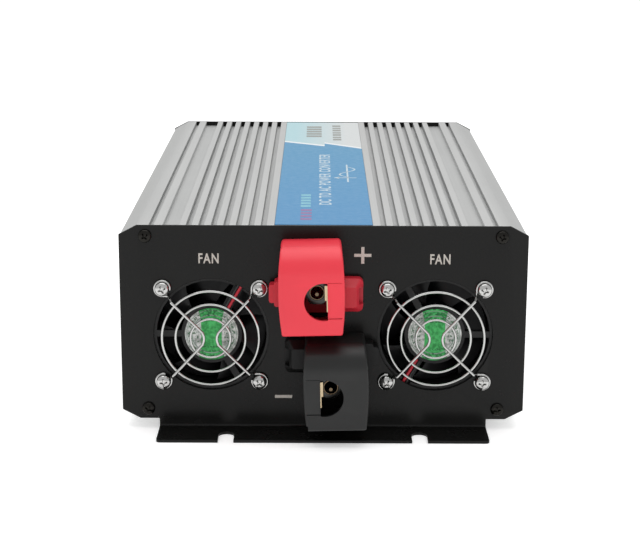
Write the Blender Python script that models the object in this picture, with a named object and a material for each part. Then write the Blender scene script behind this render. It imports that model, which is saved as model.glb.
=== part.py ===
"""Power inverter: a finned two-part aluminium housing between two bent steel end panels.

The frame: +Z up, the end with the fans and the battery terminals faces -Y, and +X is to its
right. The origin is in the middle of the outline, on the surface that the feet stand on.
Shapes are written in millimetres, and solid() turns each finished mesh into metres. Each shape
that sits on an end panel is written in that panel's own frame: y = 0 is the panel's outer face,
-y is outward, and z = 0 is the panel's lower edge.
"""

import math

import bmesh
import bpy
from mathutils import Matrix, Vector

MM = 0.001
GAP = 0.3

# End panels and the feet bent from them
PANEL_WIDTH = 210.0
PANEL_HEIGHT = 104.0
CHAMFER_WIDTH = 9.3
CHAMFER_HEIGHT = 4.9
SHEET = 1.5
BEND_INNER = 1.0
FOOT_WIDTH = 171.6
FOOT_DROP = 5.5
FOOT_REACH = 22.0
FOOT_CORNER = 2.0
SLOT_WIDTH = 8.0
SLOT_CENTRE = 50.0
SLOT_END = 9.3
PANEL_SCREW_X = 91.4
PANEL_SCREW_EDGE = 5.6
PANEL_SCREW_HOLE = 2.1

# Overall lengths
BODY_LENGTH = 334.5
COVER_REACH = 30.0
LENGTH = COVER_REACH + BODY_LENGTH + FOOT_REACH
FRONT_Y = COVER_REACH - LENGTH / 2
REAR_Y = FRONT_Y + BODY_LENGTH

# Extruded housing, one half of its section
HALF_HEIGHT = PANEL_HEIGHT / 2
HOUSING_HALF_WIDTH = 104.3
FLAT_HALF_WIDTH = 95.4
SIDE_WALL = 5.5
TOP_WALL = 6.5
BED_HALF_WIDTH = 25.2
BED_DEPTH = 0.6
FIN_GROOVE = (30.7, 2.8, 3.3)
FIN_PITCH = 6.4
FIN_GROOVES = 7
WIDE_GROOVE = (78.2, 8.2, 2.7)
EDGE_GROOVE = (88.25, 2.5, 2.7)
SIDE_GROOVE_WIDTH = 2.8
SIDE_GROOVE_DEPTH = 2.5
SIDE_GROOVE_FIRST = 12.0
SIDE_GROOVES = 5
CHANNEL_RADIUS = 1.8
CHANNEL_MOUTH = 0.6
BLOCK_INNER = 87.2
GUIDE_LOW = 11.4
GUIDE_HIGH = 13.6
GUIDE_LEDGE = 1.5
GUIDE_REACH = 3.5

# Overlay on the housing's flat middle
OVERLAY_WIDTH = 49.6
OVERLAY_INSET = 3.0

# Fans
FAN_X = 58.0
FAN_Z = 45.9
FAN_OPENING = 30.0
FAN_SIZE = 60.0
FAN_DEPTH = 25.0
FAN_FLANGE = 4.0
FAN_CORNER = 4.0
FAN_FRONT = SHEET + GAP
FAN_BACK = FAN_FRONT + FAN_DEPTH
FAN_PITCH = 25.0
FAN_HOLE = 2.3
DUCT_RADIUS = 28.6
BARREL_RADIUS = 29.7
HUB_RADIUS = 15.8
HUB_THICKNESS = 3.4
SPINDLE_RADIUS = 1.9
SPINDLE_END = 15.0
STRUT_WIDTH = 3.4
STRUT_THICKNESS = 3.0
LEAD_STRUT_WIDTH = 5.0
LEAD_STRUT_BACK = 3.9
LEAD_ANGLE = 60.0
ROTOR_RADIUS = 15.4
ROTOR_FRONT = 6.0
ROTOR_BACK = 25.2
BLADES = 7
BLADE_TIP = 27.7
BLADE_THICKNESS = 1.1
LEAD_RADIUS = 0.85

# Wire guards over the fans
GUARD_RINGS = (25.0, 18.0, 10.25)
RING_WIRE = 0.65
RING_Y = -6.6
LEG_WIRE = 0.75
LEG_Y = RING_Y - 1.0
EYELET_RADIUS = 3.9
EYELET_Y = -GAP - LEG_WIRE
LEG_NEAREST = 3.3
LEG_BEND = 6.0

# Battery terminals
POSITIVE_CENTRE = (0.0, 72.5)
NEGATIVE_CENTRE = (0.7, 22.1)
STUD_OFFSET = -3.3
POSITIVE_STUD = (POSITIVE_CENTRE[0] + STUD_OFFSET, POSITIVE_CENTRE[1])
NEGATIVE_STUD = (NEGATIVE_CENTRE[0] - STUD_OFFSET, NEGATIVE_CENTRE[1])
BUS_BAR_NEAR = 13.5
BUS_BAR_FAR = 24.0
BUS_BAR_THICKNESS = 2.0
BUS_BAR_RING = 8.5
COLLAR_RADIUS = 6.4
COLLAR_THICKNESS = 3.0
STUD_TAIL = 9.0
STUD_RADIUS = 3.9
STUD_TIP = -17.5
STUD_TIP_RADIUS = 0.9
STUD_CONE = 3.4
STUD_HOLE = 4.3
PAD_FRONT = -5.0
SPIGOT_RADIUS = 7.5
SPIGOT_END = 6.0
WASHER_THICKNESS = 1.6
WASHER_FACE = PAD_FRONT - GAP
NUT_FACE = WASHER_FACE - WASHER_THICKNESS - GAP
NUT_THICKNESS = 6.5
NUT_RADIUS = 7.1
POSITIVE_EAR_Z = -3.6
NEGATIVE_EAR_Z = 13.9
PAD_LEFT = -18.4
PAD_RIGHT = 6.4
PAD_HALF_HEIGHT = 13.0
EAR_START = 7.7
EAR_END = 20.4
EAR_HALF_HEIGHT = 8.8
EAR_FRONT = -10.6
EAR_BEVEL = 3.5
EAR_BEVEL_DEPTH = 5.4
EAR_CORNER = 2.8
DUCT_HALF_HEIGHT = 4.4
DUCT_FRONT = -8.6
DUCT_BACK = -2.3
BOSS_RISE = 1.1
BOSS_ROOT = (-25.2, 6.7, -8.5)
BOSS_TIP = (-27.9, 4.75, -8.0)
NOTCH_MARGIN = 0.6
COVER_CENTRE = -5.9
COVER_HALF_WIDTH = 15.1
COVER_MIDDLE = 3.0
COVER_LEAN = -1.3
COVER_TOP = 25.0
COVER_BOTTOM = -18.5
COVER_ROUND = 12.6
COVER_CORNER = 1.5
COVER_WALL = 2.0
COVER_BULGE = 1.6
SIGHT_RADIUS = 9.7
SIGHT_FLAT = 2.1
SIGHT_DROP = 0.75
TONGUE_TOP = 9.0
TONGUE_BOTTOM = -9.4
TONGUE_DEPTH = 0.6

# Outlet end
OUTLET_X = (-62.0, -4.0)
OUTLET_Z = 62.0
OUTLET_FLANGE = 52.0
OUTLET_BODY = 22.5
OUTLET_WELL = 19.5
OUTLET_DEPTH = 17.5
PIN_PITCH = 19.0
PIN_RADIUS = 2.6
SWITCH_X = 48.0
SWITCH_Z = 66.0
SWITCH_TILT = 8.0
SWITCH_PIVOT = 2.0
USB_X = 78.0
USB_Z = 66.0
LED_X = (72.0, 84.0)
LED_Z = 84.0
GROUND_X = 78.0
GROUND_Z = 30.0
VENTS = 14
VENT_PITCH = 8.0
VENT_WIDTH = 3.0
VENT_X = -78.0
VENT_LOW = 12.0
VENT_HIGH = 28.0

# Circuit boards and what stands on the main one
BOARD_HALF_WIDTH = 98.0
BOARD_START = 40.0
BOARD_END = 300.0
BOARD_THICKNESS = 1.6
BOARD_BASE = GUIDE_LOW + GAP
BOARD_TOP = BOARD_BASE + BOARD_THICKNESS
SEAT = BOARD_TOP + GAP

COLOURS = {
    "anodised": ((0.50, 0.50, 0.49), 0.42, 0.85),
    "black_steel": ((0.018, 0.018, 0.017), 0.35, 0.0),
    "overlay": ((0.15, 0.35, 0.57), 0.30, 0.0),
    "black_plastic": ((0.022, 0.022, 0.022), 0.45, 0.0),
    "rotor_plastic": ((0.012, 0.012, 0.013), 0.35, 0.0),
    "red_plastic": ((0.78, 0.06, 0.09), 0.38, 0.0),
    "cover_black": ((0.035, 0.036, 0.036), 0.40, 0.0),
    "chrome": ((0.80, 0.79, 0.77), 0.14, 1.0),
    "brass": ((0.72, 0.52, 0.24), 0.22, 1.0),
    "nickel": ((0.66, 0.63, 0.57), 0.20, 1.0),
    "copper": ((0.75, 0.38, 0.22), 0.30, 1.0),
    "sticker": ((0.50, 0.60, 0.50), 0.35, 0.0),
    "lead": ((0.55, 0.02, 0.03), 0.40, 0.0),
    "outlet": ((0.030, 0.030, 0.031), 0.40, 0.0),
    "rocker": ((0.50, 0.02, 0.02), 0.30, 0.0),
    "green_lens": ((0.05, 0.55, 0.10), 0.15, 0.0),
    "red_lens": ((0.60, 0.03, 0.02), 0.15, 0.0),
    "board": ((0.03, 0.20, 0.09), 0.45, 0.0),
    "ferrite": ((0.06, 0.06, 0.065), 0.60, 0.0),
    "winding": ((0.62, 0.30, 0.10), 0.35, 0.6),
    "capacitor": ((0.02, 0.03, 0.10), 0.35, 0.0),
}


def clear_scene():
    for thing in list(bpy.data.objects):
        bpy.data.objects.remove(thing, do_unlink=True)


def finish(name):
    """The named material, made the first time it is asked for."""
    made = bpy.data.materials.get(name)
    if made:
        return made
    colour, roughness, metallic = COLOURS[name]
    made = bpy.data.materials.new(name)
    made.use_nodes = True
    shader = made.node_tree.nodes["Principled BSDF"]
    shader.inputs["Base Color"].default_value = (*colour, 1.0)
    shader.inputs["Roughness"].default_value = roughness
    shader.inputs["Metallic"].default_value = metallic
    return made


def to_mesh(bm):
    """The bmesh as a mesh with merged points and its faces pointing out."""
    bmesh.ops.remove_doubles(bm, verts=bm.verts, dist=1e-5)
    bmesh.ops.recalc_face_normals(bm, faces=bm.faces)
    mesh = bpy.data.meshes.new("shape")
    bm.to_mesh(mesh)
    bm.free()
    return mesh


def loft(rings, closed=False):
    """Closed solid through rings of points; a closed loft joins its last ring to its first."""
    bm = bmesh.new()
    loops = [[bm.verts.new(point) for point in ring] for ring in rings]
    spans = list(zip(loops, loops[1:]))
    if closed:
        spans.append((loops[-1], loops[0]))
    else:
        bm.faces.new(loops[0])
        bm.faces.new(loops[-1])
    for low, high in spans:
        for here in range(len(low)):
            after = (here + 1) % len(low)
            bm.faces.new((low[here], low[after], high[after], high[here]))
    return to_mesh(bm)


def lifted(outline, axis, level):
    """The outline's points in the plane that lies across this axis at this level."""
    if axis == "X":
        return [(level, first, second) for first, second in outline]
    if axis == "Y":
        return [(first, level, second) for first, second in outline]
    return [(first, second, level) for first, second in outline]


def prism(outline, axis, low, high):
    return loft([lifted(outline, axis, low), lifted(outline, axis, high)])


def box(low, high):
    corners = ((low[0], low[2]), (high[0], low[2]), (high[0], high[2]), (low[0], high[2]))
    return prism(corners, "Y", low[1], high[1])


def arc(centre, radius, start, end, steps):
    """Points of an arc, in degrees, from start to end."""
    points = []
    for step in range(steps + 1):
        angle = math.radians(start + (end - start) * step / steps)
        points.append((centre[0] + radius * math.cos(angle), centre[1] + radius * math.sin(angle)))
    return points


def circle(radius, sides, centre=(0.0, 0.0)):
    return arc(centre, radius, 0, 360, sides)[:-1]


def rounded_rectangle(left, right, bottom, top, radius, steps=4):
    outline = []
    outline += arc((right - radius, bottom + radius), radius, -90, 0, steps)
    outline += arc((right - radius, top - radius), radius, 0, 90, steps)
    outline += arc((left + radius, top - radius), radius, 90, 180, steps)
    outline += arc((left + radius, bottom + radius), radius, 180, 270, steps)
    return outline


def cylinder(radius, low, high, sides=24, centre=(0.0, 0.0)):
    """Round bar along Y."""
    return prism(circle(radius, sides, centre), "Y", low, high)


def turned(profile, sides):
    """Solid of revolution about Y; the profile is a closed loop of (radius, y)."""
    rings = []
    for side in range(sides):
        angle = math.tau * side / sides
        ring = [(r * math.cos(angle), y, r * math.sin(angle)) for r, y in profile]
        rings.append(ring)
    return loft(rings, closed=True)


def swept(section, path, closed=False):
    """The section, given as (across, up) points, carried along a path without twist."""
    points = [Vector(point) for point in path]
    count = len(points)
    rings = []
    normal = None
    for here in range(count):
        before = points[here - 1] if closed or here else points[here]
        after = points[(here + 1) % count] if closed or here + 1 < count else points[here]
        tangent = (after - before).normalized()
        if normal is None:
            normal = tangent.cross(Vector((0, 1, 0))).normalized()
        normal = (normal - tangent * normal.dot(tangent)).normalized()
        binormal = tangent.cross(normal)
        rings.append([points[here] + normal * across + binormal * up for across, up in section])
    return loft(rings, closed)


def boolean(operation, base, tools):
    """The mesh left after the base meets each tool in turn."""
    target = bpy.data.objects.new("target", base)
    bpy.context.scene.collection.objects.link(target)
    helpers = []
    for tool in tools:
        helper = bpy.data.objects.new("helper", tool)
        helper.hide_render = True
        helper.display_type = "WIRE"
        bpy.context.scene.collection.objects.link(helper)
        helpers.append(helper)
        modifier = target.modifiers.new("Boolean", "BOOLEAN")
        modifier.operation = operation
        modifier.object = helper
    graph = bpy.context.evaluated_depsgraph_get()
    mesh = bpy.data.meshes.new_from_object(target.evaluated_get(graph))
    for helper in [target, *helpers]:
        bpy.data.objects.remove(helper, do_unlink=True)
    return mesh


def cut(base, *tools):
    return boolean("DIFFERENCE", base, tools)


def fused(base, *tools):
    return boolean("UNION", base, tools)


def turned_about_y(mesh, degrees):
    """The same mesh, rotated about Y from +X towards +Z."""
    mesh.transform(Matrix.Rotation(-math.radians(degrees), 4, "Y"))
    return mesh


def stood_up(mesh):
    """The same mesh with its Y axis turned to point along +Z."""
    mesh.transform(Matrix.Rotation(math.radians(90), 4, "X"))
    return mesh


def mirrored(mesh):
    """A mirror image across the plane x = 0."""
    other = mesh.copy()
    other.transform(Matrix.Scale(-1, 4, (1, 0, 0)))
    other.flip_normals()
    return other


def solid(mesh, colour):
    """Turns a finished mesh into metres, smooths its round faces and gives it its material."""
    mesh.transform(Matrix.Scale(MM, 4))
    mesh.materials.clear()
    mesh.materials.append(finish(colour))
    mesh.shade_smooth()
    mesh.set_sharp_from_angle(angle=math.radians(32))
    return mesh


def place(name, mesh, parent, at=(0, 0, 0), turn=(0, 0, 0)):
    """A named piece, placed in millimetres and degrees in its parent's frame."""
    piece = bpy.data.objects.new(name, mesh)
    bpy.context.scene.collection.objects.link(piece)
    piece.parent = parent
    piece.location = Vector(at) * MM
    piece.rotation_euler = [math.radians(angle) for angle in turn]
    return piece


def frame_at(name, at, turn=(0, 0, 0), parent=None):
    """An empty that carries the pieces of one assembly."""
    return place(name, None, parent, at, turn)


# ---------------------------------------------------------------- end panels


def panel_surface():
    """Outer surface of the bent sheet: an octagon, a web below it and the foot in front."""
    half = PANEL_WIDTH / 2
    foot = FOOT_WIDTH / 2
    bend_z = -FOOT_DROP + BEND_INNER + SHEET
    bm = bmesh.new()
    plate = [
        (-foot, 0),
        (foot, 0),
        (half - CHAMFER_WIDTH, 0),
        (half, CHAMFER_HEIGHT),
        (half, PANEL_HEIGHT - CHAMFER_HEIGHT),
        (half - CHAMFER_WIDTH, PANEL_HEIGHT),
        (-half + CHAMFER_WIDTH, PANEL_HEIGHT),
        (-half, PANEL_HEIGHT - CHAMFER_HEIGHT),
        (-half, CHAMFER_HEIGHT),
        (-half + CHAMFER_WIDTH, 0),
    ]
    corners = [bm.verts.new((x, 0, z)) for x, z in plate]
    bm.faces.new(corners)
    edge = corners[:2]
    section = arc((-BEND_INNER, bend_z), BEND_INNER, 0, -90, 5)
    section.append((-FOOT_REACH, -FOOT_DROP + SHEET))
    for y, z in section:
        following = [bm.verts.new((-foot, y, z)), bm.verts.new((foot, y, z))]
        bm.faces.new((edge[0], following[0], following[1], edge[1]))
        edge = following
    mesh = bpy.data.meshes.new("sheet")
    bm.to_mesh(mesh)
    bm.free()
    return mesh


def thickened(surface):
    """The sheet with its thickness added behind its outer surface."""
    sheet = bpy.data.objects.new("sheet", surface)
    bpy.context.scene.collection.objects.link(sheet)
    modifier = sheet.modifiers.new("Solidify", "SOLIDIFY")
    modifier.thickness = SHEET
    modifier.offset = -1.0
    modifier.use_even_offset = True
    graph = bpy.context.evaluated_depsgraph_get()
    mesh = bpy.data.meshes.new_from_object(sheet.evaluated_get(graph))
    bpy.data.objects.remove(sheet, do_unlink=True)
    return mesh


def foot_cutters():
    """Two open slots and the rounded outer corners of the foot."""
    low = -FOOT_DROP - 1
    high = -1.0
    front = -FOOT_REACH - 1
    cutters = []
    for x in (-SLOT_CENTRE, SLOT_CENTRE):
        radius = SLOT_WIDTH / 2
        outline = arc((x, -SLOT_END - radius), radius, 0, 180, 10)
        outline += [(x - radius, front), (x + radius, front)]
        cutters.append(prism(outline, "Z", low, high))
    for side in (-1, 1):
        corner_x = FOOT_WIDTH / 2 - FOOT_CORNER
        outline = arc((corner_x, -FOOT_REACH + FOOT_CORNER), FOOT_CORNER, 0, -90, 4)
        beyond = FOOT_WIDTH / 2 + 1
        outline += [(corner_x, front), (beyond, front), (beyond, -FOOT_REACH + FOOT_CORNER)]
        cutters.append(prism([(side * x, y) for x, y in outline], "Z", low, high))
    return cutters


def through_hole(outline):
    return prism(outline, "Y", -1.0, SHEET + 1.0)


def panel_screw_holes():
    holes = []
    for x in (-PANEL_SCREW_X, PANEL_SCREW_X):
        for z in (PANEL_SCREW_EDGE, PANEL_HEIGHT - PANEL_SCREW_EDGE):
            holes.append(through_hole(circle(PANEL_SCREW_HOLE, 10, (x, z))))
    return holes


def end_panel(holes):
    mesh = cut(thickened(panel_surface()), *foot_cutters(), *panel_screw_holes(), *holes)
    return solid(mesh, "black_steel")


def front_panel():
    holes = []
    for x in (-FAN_X, FAN_X):
        holes.append(through_hole(circle(FAN_OPENING, 44, (x, FAN_Z))))
        for dx in (-FAN_PITCH, FAN_PITCH):
            for dz in (-FAN_PITCH, FAN_PITCH):
                holes.append(through_hole(circle(FAN_HOLE, 8, (x + dx, FAN_Z + dz))))
    for stud in (POSITIVE_STUD, NEGATIVE_STUD):
        holes.append(through_hole(circle(SPIGOT_RADIUS + GAP, 16, stud)))
    return end_panel(holes)


def rear_panel():
    holes = [through_hole(circle(OUTLET_BODY + GAP, 28, (x, OUTLET_Z))) for x in OUTLET_X]
    switch = rounded_rectangle(SWITCH_X - 11.3, SWITCH_X + 11.3, SWITCH_Z - 14.3, SWITCH_Z + 14.3, 1.0, 2)
    usb = rounded_rectangle(USB_X - 7.8, USB_X + 7.8, USB_Z - 4.1, USB_Z + 4.1, 0.8, 2)
    holes += [through_hole(switch), through_hole(usb)]
    holes += [through_hole(circle(2.8, 10, (x, LED_Z))) for x in LED_X]
    holes.append(through_hole(circle(3.0, 10, (GROUND_X, GROUND_Z))))
    for vent in range(VENTS):
        x = VENT_X + VENT_PITCH * vent
        radius = VENT_WIDTH / 2
        outline = arc((x, VENT_HIGH - radius), radius, 0, 180, 3)
        outline += arc((x, VENT_LOW + radius), radius, 180, 360, 3)
        holes.append(through_hole(outline))
    return end_panel(holes)


# ---------------------------------------------------------------- housing


def groove(spec, level):
    """Four points of a square groove cut down from this level."""
    centre, width, depth = spec
    left = centre - width / 2
    right = centre + width / 2
    return [(left, level), (left, level - depth), (right, level - depth), (right, level)]


def outer_right(label_bed):
    """Right half of the outer outline, from the middle to the joint."""
    top = HALF_HEIGHT
    wall = HOUSING_HALF_WIDTH
    points = []
    if label_bed:
        points += [(BED_HALF_WIDTH, top - BED_DEPTH), (BED_HALF_WIDTH, top)]
    first, width, depth = FIN_GROOVE
    for fin in range(FIN_GROOVES):
        points += groove((first + FIN_PITCH * fin, width, depth), top)
    points += groove(WIDE_GROOVE, top)
    points += groove(EDGE_GROOVE, top)
    points += [(FLAT_HALF_WIDTH, top), (wall, top - CHAMFER_HEIGHT)]
    for fin in range(SIDE_GROOVES):
        centre = top - SIDE_GROOVE_FIRST - FIN_PITCH * fin
        upper = centre + SIDE_GROOVE_WIDTH / 2
        lower = centre - SIDE_GROOVE_WIDTH / 2
        floor = wall - SIDE_GROOVE_DEPTH
        points += [(wall, upper), (floor, upper), (floor, lower), (wall, lower)]
    return points


def inner_right():
    """Right half of the inner outline, from the joint to the ceiling."""
    top = HALF_HEIGHT
    wall = HOUSING_HALF_WIDTH - SIDE_WALL
    ledge = wall - GUIDE_REACH
    centre = (PANEL_SCREW_X, top - PANEL_SCREW_EDGE)
    half_mouth = math.degrees(math.asin(CHANNEL_MOUTH / CHANNEL_RADIUS))
    points = [
        (wall, top - GUIDE_HIGH - GUIDE_LEDGE),
        (ledge, top - GUIDE_HIGH - GUIDE_LEDGE),
        (ledge, top - GUIDE_HIGH),
        (wall, top - GUIDE_HIGH),
        (wall, top - GUIDE_LOW),
        (PANEL_SCREW_X + CHANNEL_MOUTH, top - GUIDE_LOW),
    ]
    points += arc(centre, CHANNEL_RADIUS, -90 + half_mouth, 270 - half_mouth, 12)
    points += [
        (PANEL_SCREW_X - CHANNEL_MOUTH, top - GUIDE_LOW),
        (BLOCK_INNER, top - GUIDE_LOW),
        (BLOCK_INNER, top - TOP_WALL),
    ]
    return points


def half_shell(label_bed):
    """One half of the housing above the joint; a tongue on its left fits a groove on its right."""
    outer = outer_right(label_bed)
    inner = inner_right()
    wall = HOUSING_HALF_WIDTH
    inside = wall - SIDE_WALL
    joint = GAP / 2
    groove_side = [
        (wall, joint),
        (103.2, joint),
        (103.2, 3.2),
        (101.0, 3.2),
        (101.0, joint),
        (inside, joint),
    ]
    tongue_side = [
        (-inside, joint),
        (-101.3, joint),
        (-101.3, -2.6),
        (-102.9, -2.6),
        (-102.9, joint),
        (-wall, joint),
    ]
    outline = outer + groove_side + inner
    outline += [(-x, z) for x, z in reversed(inner)]
    outline += tongue_side
    outline += [(-x, z) for x, z in reversed(outer)]
    return solid(prism(outline, "Y", SHEET + GAP, BODY_LENGTH - SHEET - GAP), "anodised")


def overlay():
    half = OVERLAY_WIDTH / 2
    end = BODY_LENGTH - OVERLAY_INSET
    film = box((-half, OVERLAY_INSET, PANEL_HEIGHT - GAP), (half, end, PANEL_HEIGHT))
    return solid(film, "overlay")


# ---------------------------------------------------------------- screws


def cross_recess(face, depth, reach, width):
    """Tapered cross-shaped cutter that enters at this face."""
    rings = []
    for y, scale in ((face - 0.2, 1.0), (face + depth, 0.5)):
        long = reach * scale
        short = width * scale
        outline = [(long, short), (short, short), (short, long)]
        ring = []
        for quarter in range(4):
            angle = math.pi / 2 * quarter
            cos = math.cos(angle)
            sin = math.sin(angle)
            ring += [(x * cos - z * sin, y, x * sin + z * cos) for x, z in outline]
        rings.append(ring)
    return loft(rings)


def pan_screw(head_radius, head_height, shank_radius, shank_length, colour):
    """Cross-recessed screw: the head's underside is at y = 0 and the shank runs along +Y."""
    profile = [
        (0, -head_height),
        (head_radius * 0.78, -head_height),
        (head_radius, -head_height * 0.5),
        (head_radius, 0),
        (shank_radius, 0),
        (shank_radius, shank_length),
        (0, shank_length),
    ]
    recess = cross_recess(-head_height, head_height * 0.55, head_radius * 0.58, head_radius * 0.15)
    return solid(cut(turned(profile, 12), recess), colour)


# ---------------------------------------------------------------- fans


def radial_bar(width, inner, outer, low, high, degrees):
    """Straight bar that points away from the fan's axis."""
    bar = box((inner, low, -width / 2), (outer, high, width / 2))
    return turned_about_y(bar, degrees)


def fan_frame():
    half = FAN_SIZE / 2
    square = rounded_rectangle(-half, half, -half, half, FAN_CORNER, 3)
    front = prism(square, "Y", FAN_FRONT, FAN_FRONT + FAN_FLANGE)
    back = prism(square, "Y", FAN_BACK - FAN_FLANGE, FAN_BACK)
    barrel = cylinder(BARREL_RADIUS, FAN_FRONT + 1, FAN_BACK - 1, 36)
    cutters = [cylinder(DUCT_RADIUS, 0, FAN_BACK + 1, 36)]
    for dx in (-FAN_PITCH, FAN_PITCH):
        for dz in (-FAN_PITCH, FAN_PITCH):
            cutters.append(cylinder(FAN_HOLE, 0, FAN_BACK + 1, 8, (dx, dz)))
    tunnel = cut(fused(front, back, barrel), *cutters)
    wall = (DUCT_RADIUS + BARREL_RADIUS) / 2
    strut_back = FAN_FRONT + STRUT_THICKNESS
    lead_strut_front = FAN_FRONT + 2 * LEAD_RADIUS + 0.5
    hub = cylinder(HUB_RADIUS, FAN_FRONT, FAN_FRONT + HUB_THICKNESS, 28)
    spindle = cylinder(SPINDLE_RADIUS, FAN_FRONT + 1, SPINDLE_END, 8)
    root = HUB_RADIUS - 2
    strut_front = FAN_FRONT + 0.2
    lead_strut_back = FAN_FRONT + LEAD_STRUT_BACK
    struts = [
        radial_bar(STRUT_WIDTH, root, wall, strut_front, strut_back, LEAD_ANGLE + 120),
        radial_bar(STRUT_WIDTH, root, wall, strut_front, strut_back, LEAD_ANGLE - 120),
        radial_bar(LEAD_STRUT_WIDTH, root, wall, lead_strut_front, lead_strut_back, LEAD_ANGLE),
    ]
    notch = radial_bar(LEAD_STRUT_WIDTH, DUCT_RADIUS - 2, 40, FAN_FRONT - 1, lead_strut_front, LEAD_ANGLE)
    return solid(cut(fused(tunnel, hub, spindle, *struts), notch), "black_plastic")


def blade(turn):
    """One twisted blade, rooted inside the hub's wall."""
    rings = []
    stations = (-1.0, -0.35, 0.35, 1.0)
    for radius in (ROTOR_RADIUS - 0.6, 19.5, 23.8, BLADE_TIP):
        sweep = 0.38 + 0.02 * (radius - ROTOR_RADIUS) / BLADE_THICKNESS
        ring = []
        for side in (1, -1):
            for station in stations[::side]:
                camber = 0.10 * (1 - station * station)
                angle = turn + sweep * station + camber + side * BLADE_THICKNESS / 2 / radius
                depth = (ROTOR_FRONT + ROTOR_BACK) / 2 + 6.2 * station
                ring.append((radius * math.cos(angle), depth, radius * math.sin(angle)))
        rings.append(ring)
    return loft(rings)


def fan_rotor():
    rim = 0.8
    profile = [
        (SPINDLE_RADIUS + 0.4, ROTOR_FRONT),
        (ROTOR_RADIUS - rim, ROTOR_FRONT),
        (ROTOR_RADIUS, ROTOR_FRONT + rim),
        (ROTOR_RADIUS, ROTOR_BACK - rim),
        (ROTOR_RADIUS - rim, ROTOR_BACK),
        (0, ROTOR_BACK),
        (0, SPINDLE_END + 1),
        (SPINDLE_RADIUS + 0.4, SPINDLE_END + 1),
    ]
    blades = [blade(math.tau * number / BLADES) for number in range(BLADES)]
    return solid(fused(turned(profile, 20), *blades), "rotor_plastic")


def guard_ring(radius):
    path = [(x, RING_Y, z) for x, z in circle(radius, 26)]
    return swept(circle(RING_WIRE, 5), path, closed=True)


def guard_leg():
    """One leg: an eyelet, a run towards the middle, a bend, and a run out to the next eyelet."""
    corner = FAN_PITCH
    rise = (EYELET_Y, EYELET_Y - 0.5, EYELET_Y - 2.2, LEG_Y + 0.8, LEG_Y)
    first = [(x, EYELET_Y, z) for x, z in arc((-corner, corner), EYELET_RADIUS, -12, 270, 9)]
    near = ((-22.9, 21.0), (-21.8, 20.8), (-20.9, 20.1), (-19.6, 18.8), (-18.6, 17.8))
    first += [(x, y, z) for (x, z), y in zip(near, rise)]
    bend = arc((-LEG_NEAREST - LEG_BEND, 0), LEG_BEND, 45, -45, 4)
    middle = [(x, LEG_Y, z) for x, z in bend]
    far = ((-21.1, -23.4), (-20.9, -22.4), (-20.4, -21.4), (-19.3, -19.9), (-18.3, -18.9))
    last = [(x, y, z) for (x, z), y in zip(far, rise)]
    last.reverse()
    last += [(x, EYELET_Y, z) for x, z in arc((-corner, -corner), EYELET_RADIUS, 0, -282, 9)]
    return swept(circle(LEG_WIRE, 5), first + middle + last)


def fan_guard():
    rings = [guard_ring(radius) for radius in GUARD_RINGS]
    legs = [guard_leg(), turned_about_y(guard_leg(), 180)]
    return solid(fused(legs[0], legs[1], *rings), "chrome")


def lead_section():
    """Two round cores joined side by side, the first one outermost."""
    half = LEAD_RADIUS * 0.92
    outline = arc((half, 0), LEAD_RADIUS, -150, 150, 4)
    outline += arc((-half, 0), LEAD_RADIUS, 30, 330, 4)
    return outline


def fan_lead(tail):
    """The fan's lead, from the hub along its strut, out through the notch and back inside."""
    direction = math.radians(LEAD_ANGLE)
    along = Vector((math.cos(direction), 0, math.sin(direction)))
    depth = FAN_FRONT + LEAD_RADIUS + 0.3
    reaches = (HUB_RADIUS + GAP, 22.0, 30.0, 35.5)
    path = [along * reach + Vector((0, depth, 0)) for reach in reaches]
    path.append(along * 37.4 + Vector((0, depth + 0.8, 0)))
    path.append(along * 38.2 + Vector((0, depth + 2.6, 0)))
    path += [Vector(point) for point in tail]
    return solid(swept(lead_section(), path), "lead")


def fan_screw():
    return pan_screw(3.7, 2.5, 1.9, 9.5, "chrome")


def hub_label():
    return solid(cylinder(13.95, FAN_FRONT - GAP - 0.4, FAN_FRONT - GAP, 26), "sticker")


def add_fan(side, x, turn, shapes, tail, front):
    """A whole fan with its guard; the second fan is the first one turned half a turn."""
    centre = frame_at(f"{side}_fan_axis", (x, 0, FAN_Z), (0, turn, 0), front)
    place(f"{side}_fan_frame", shapes["frame"], centre)
    place(f"{side}_fan_rotor", shapes["rotor"], centre)
    place(f"{side}_fan_guard", shapes["guard"], centre)
    place(f"{side}_fan_hub_label", shapes["label"], centre)
    place(f"{side}_fan_lead", fan_lead(tail), centre)
    head = EYELET_Y - LEG_WIRE - GAP
    corners = ((-1, 1), (1, 1), (1, -1), (-1, -1))
    for number, (dx, dz) in enumerate(corners, 1):
        at = (dx * FAN_PITCH, head, dz * FAN_PITCH)
        place(f"{side}_fan_screw_{number}", shapes["screw"], centre, at, (0, 0, 0))


# ---------------------------------------------------------------- battery terminals


def ear_block():
    """Side block with a picture-frame bevel round its front face."""
    half = EAR_HALF_HEIGHT
    outline = rounded_rectangle(EAR_START, EAR_END, -half, half, EAR_CORNER, 4)
    flat_end = EAR_END - EAR_BEVEL
    flat_half = half - EAR_BEVEL
    flat = rounded_rectangle(EAR_START, flat_end, -flat_half, flat_half, EAR_CORNER / 2, 4)
    bevel_back = EAR_FRONT + EAR_BEVEL_DEPTH
    levels = ((flat, EAR_FRONT), (outline, bevel_back), (outline, -GAP))
    return loft([lifted(shape, "Y", level) for shape, level in levels])


def boss_step(step, back):
    """One step of the boss on the side away from the ear: (its end, half height, front)."""
    end, half, front = step
    return prism(rounded_rectangle(end, PAD_LEFT + 3, -half, half, 1.2, 2), "Y", front, back)


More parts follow.
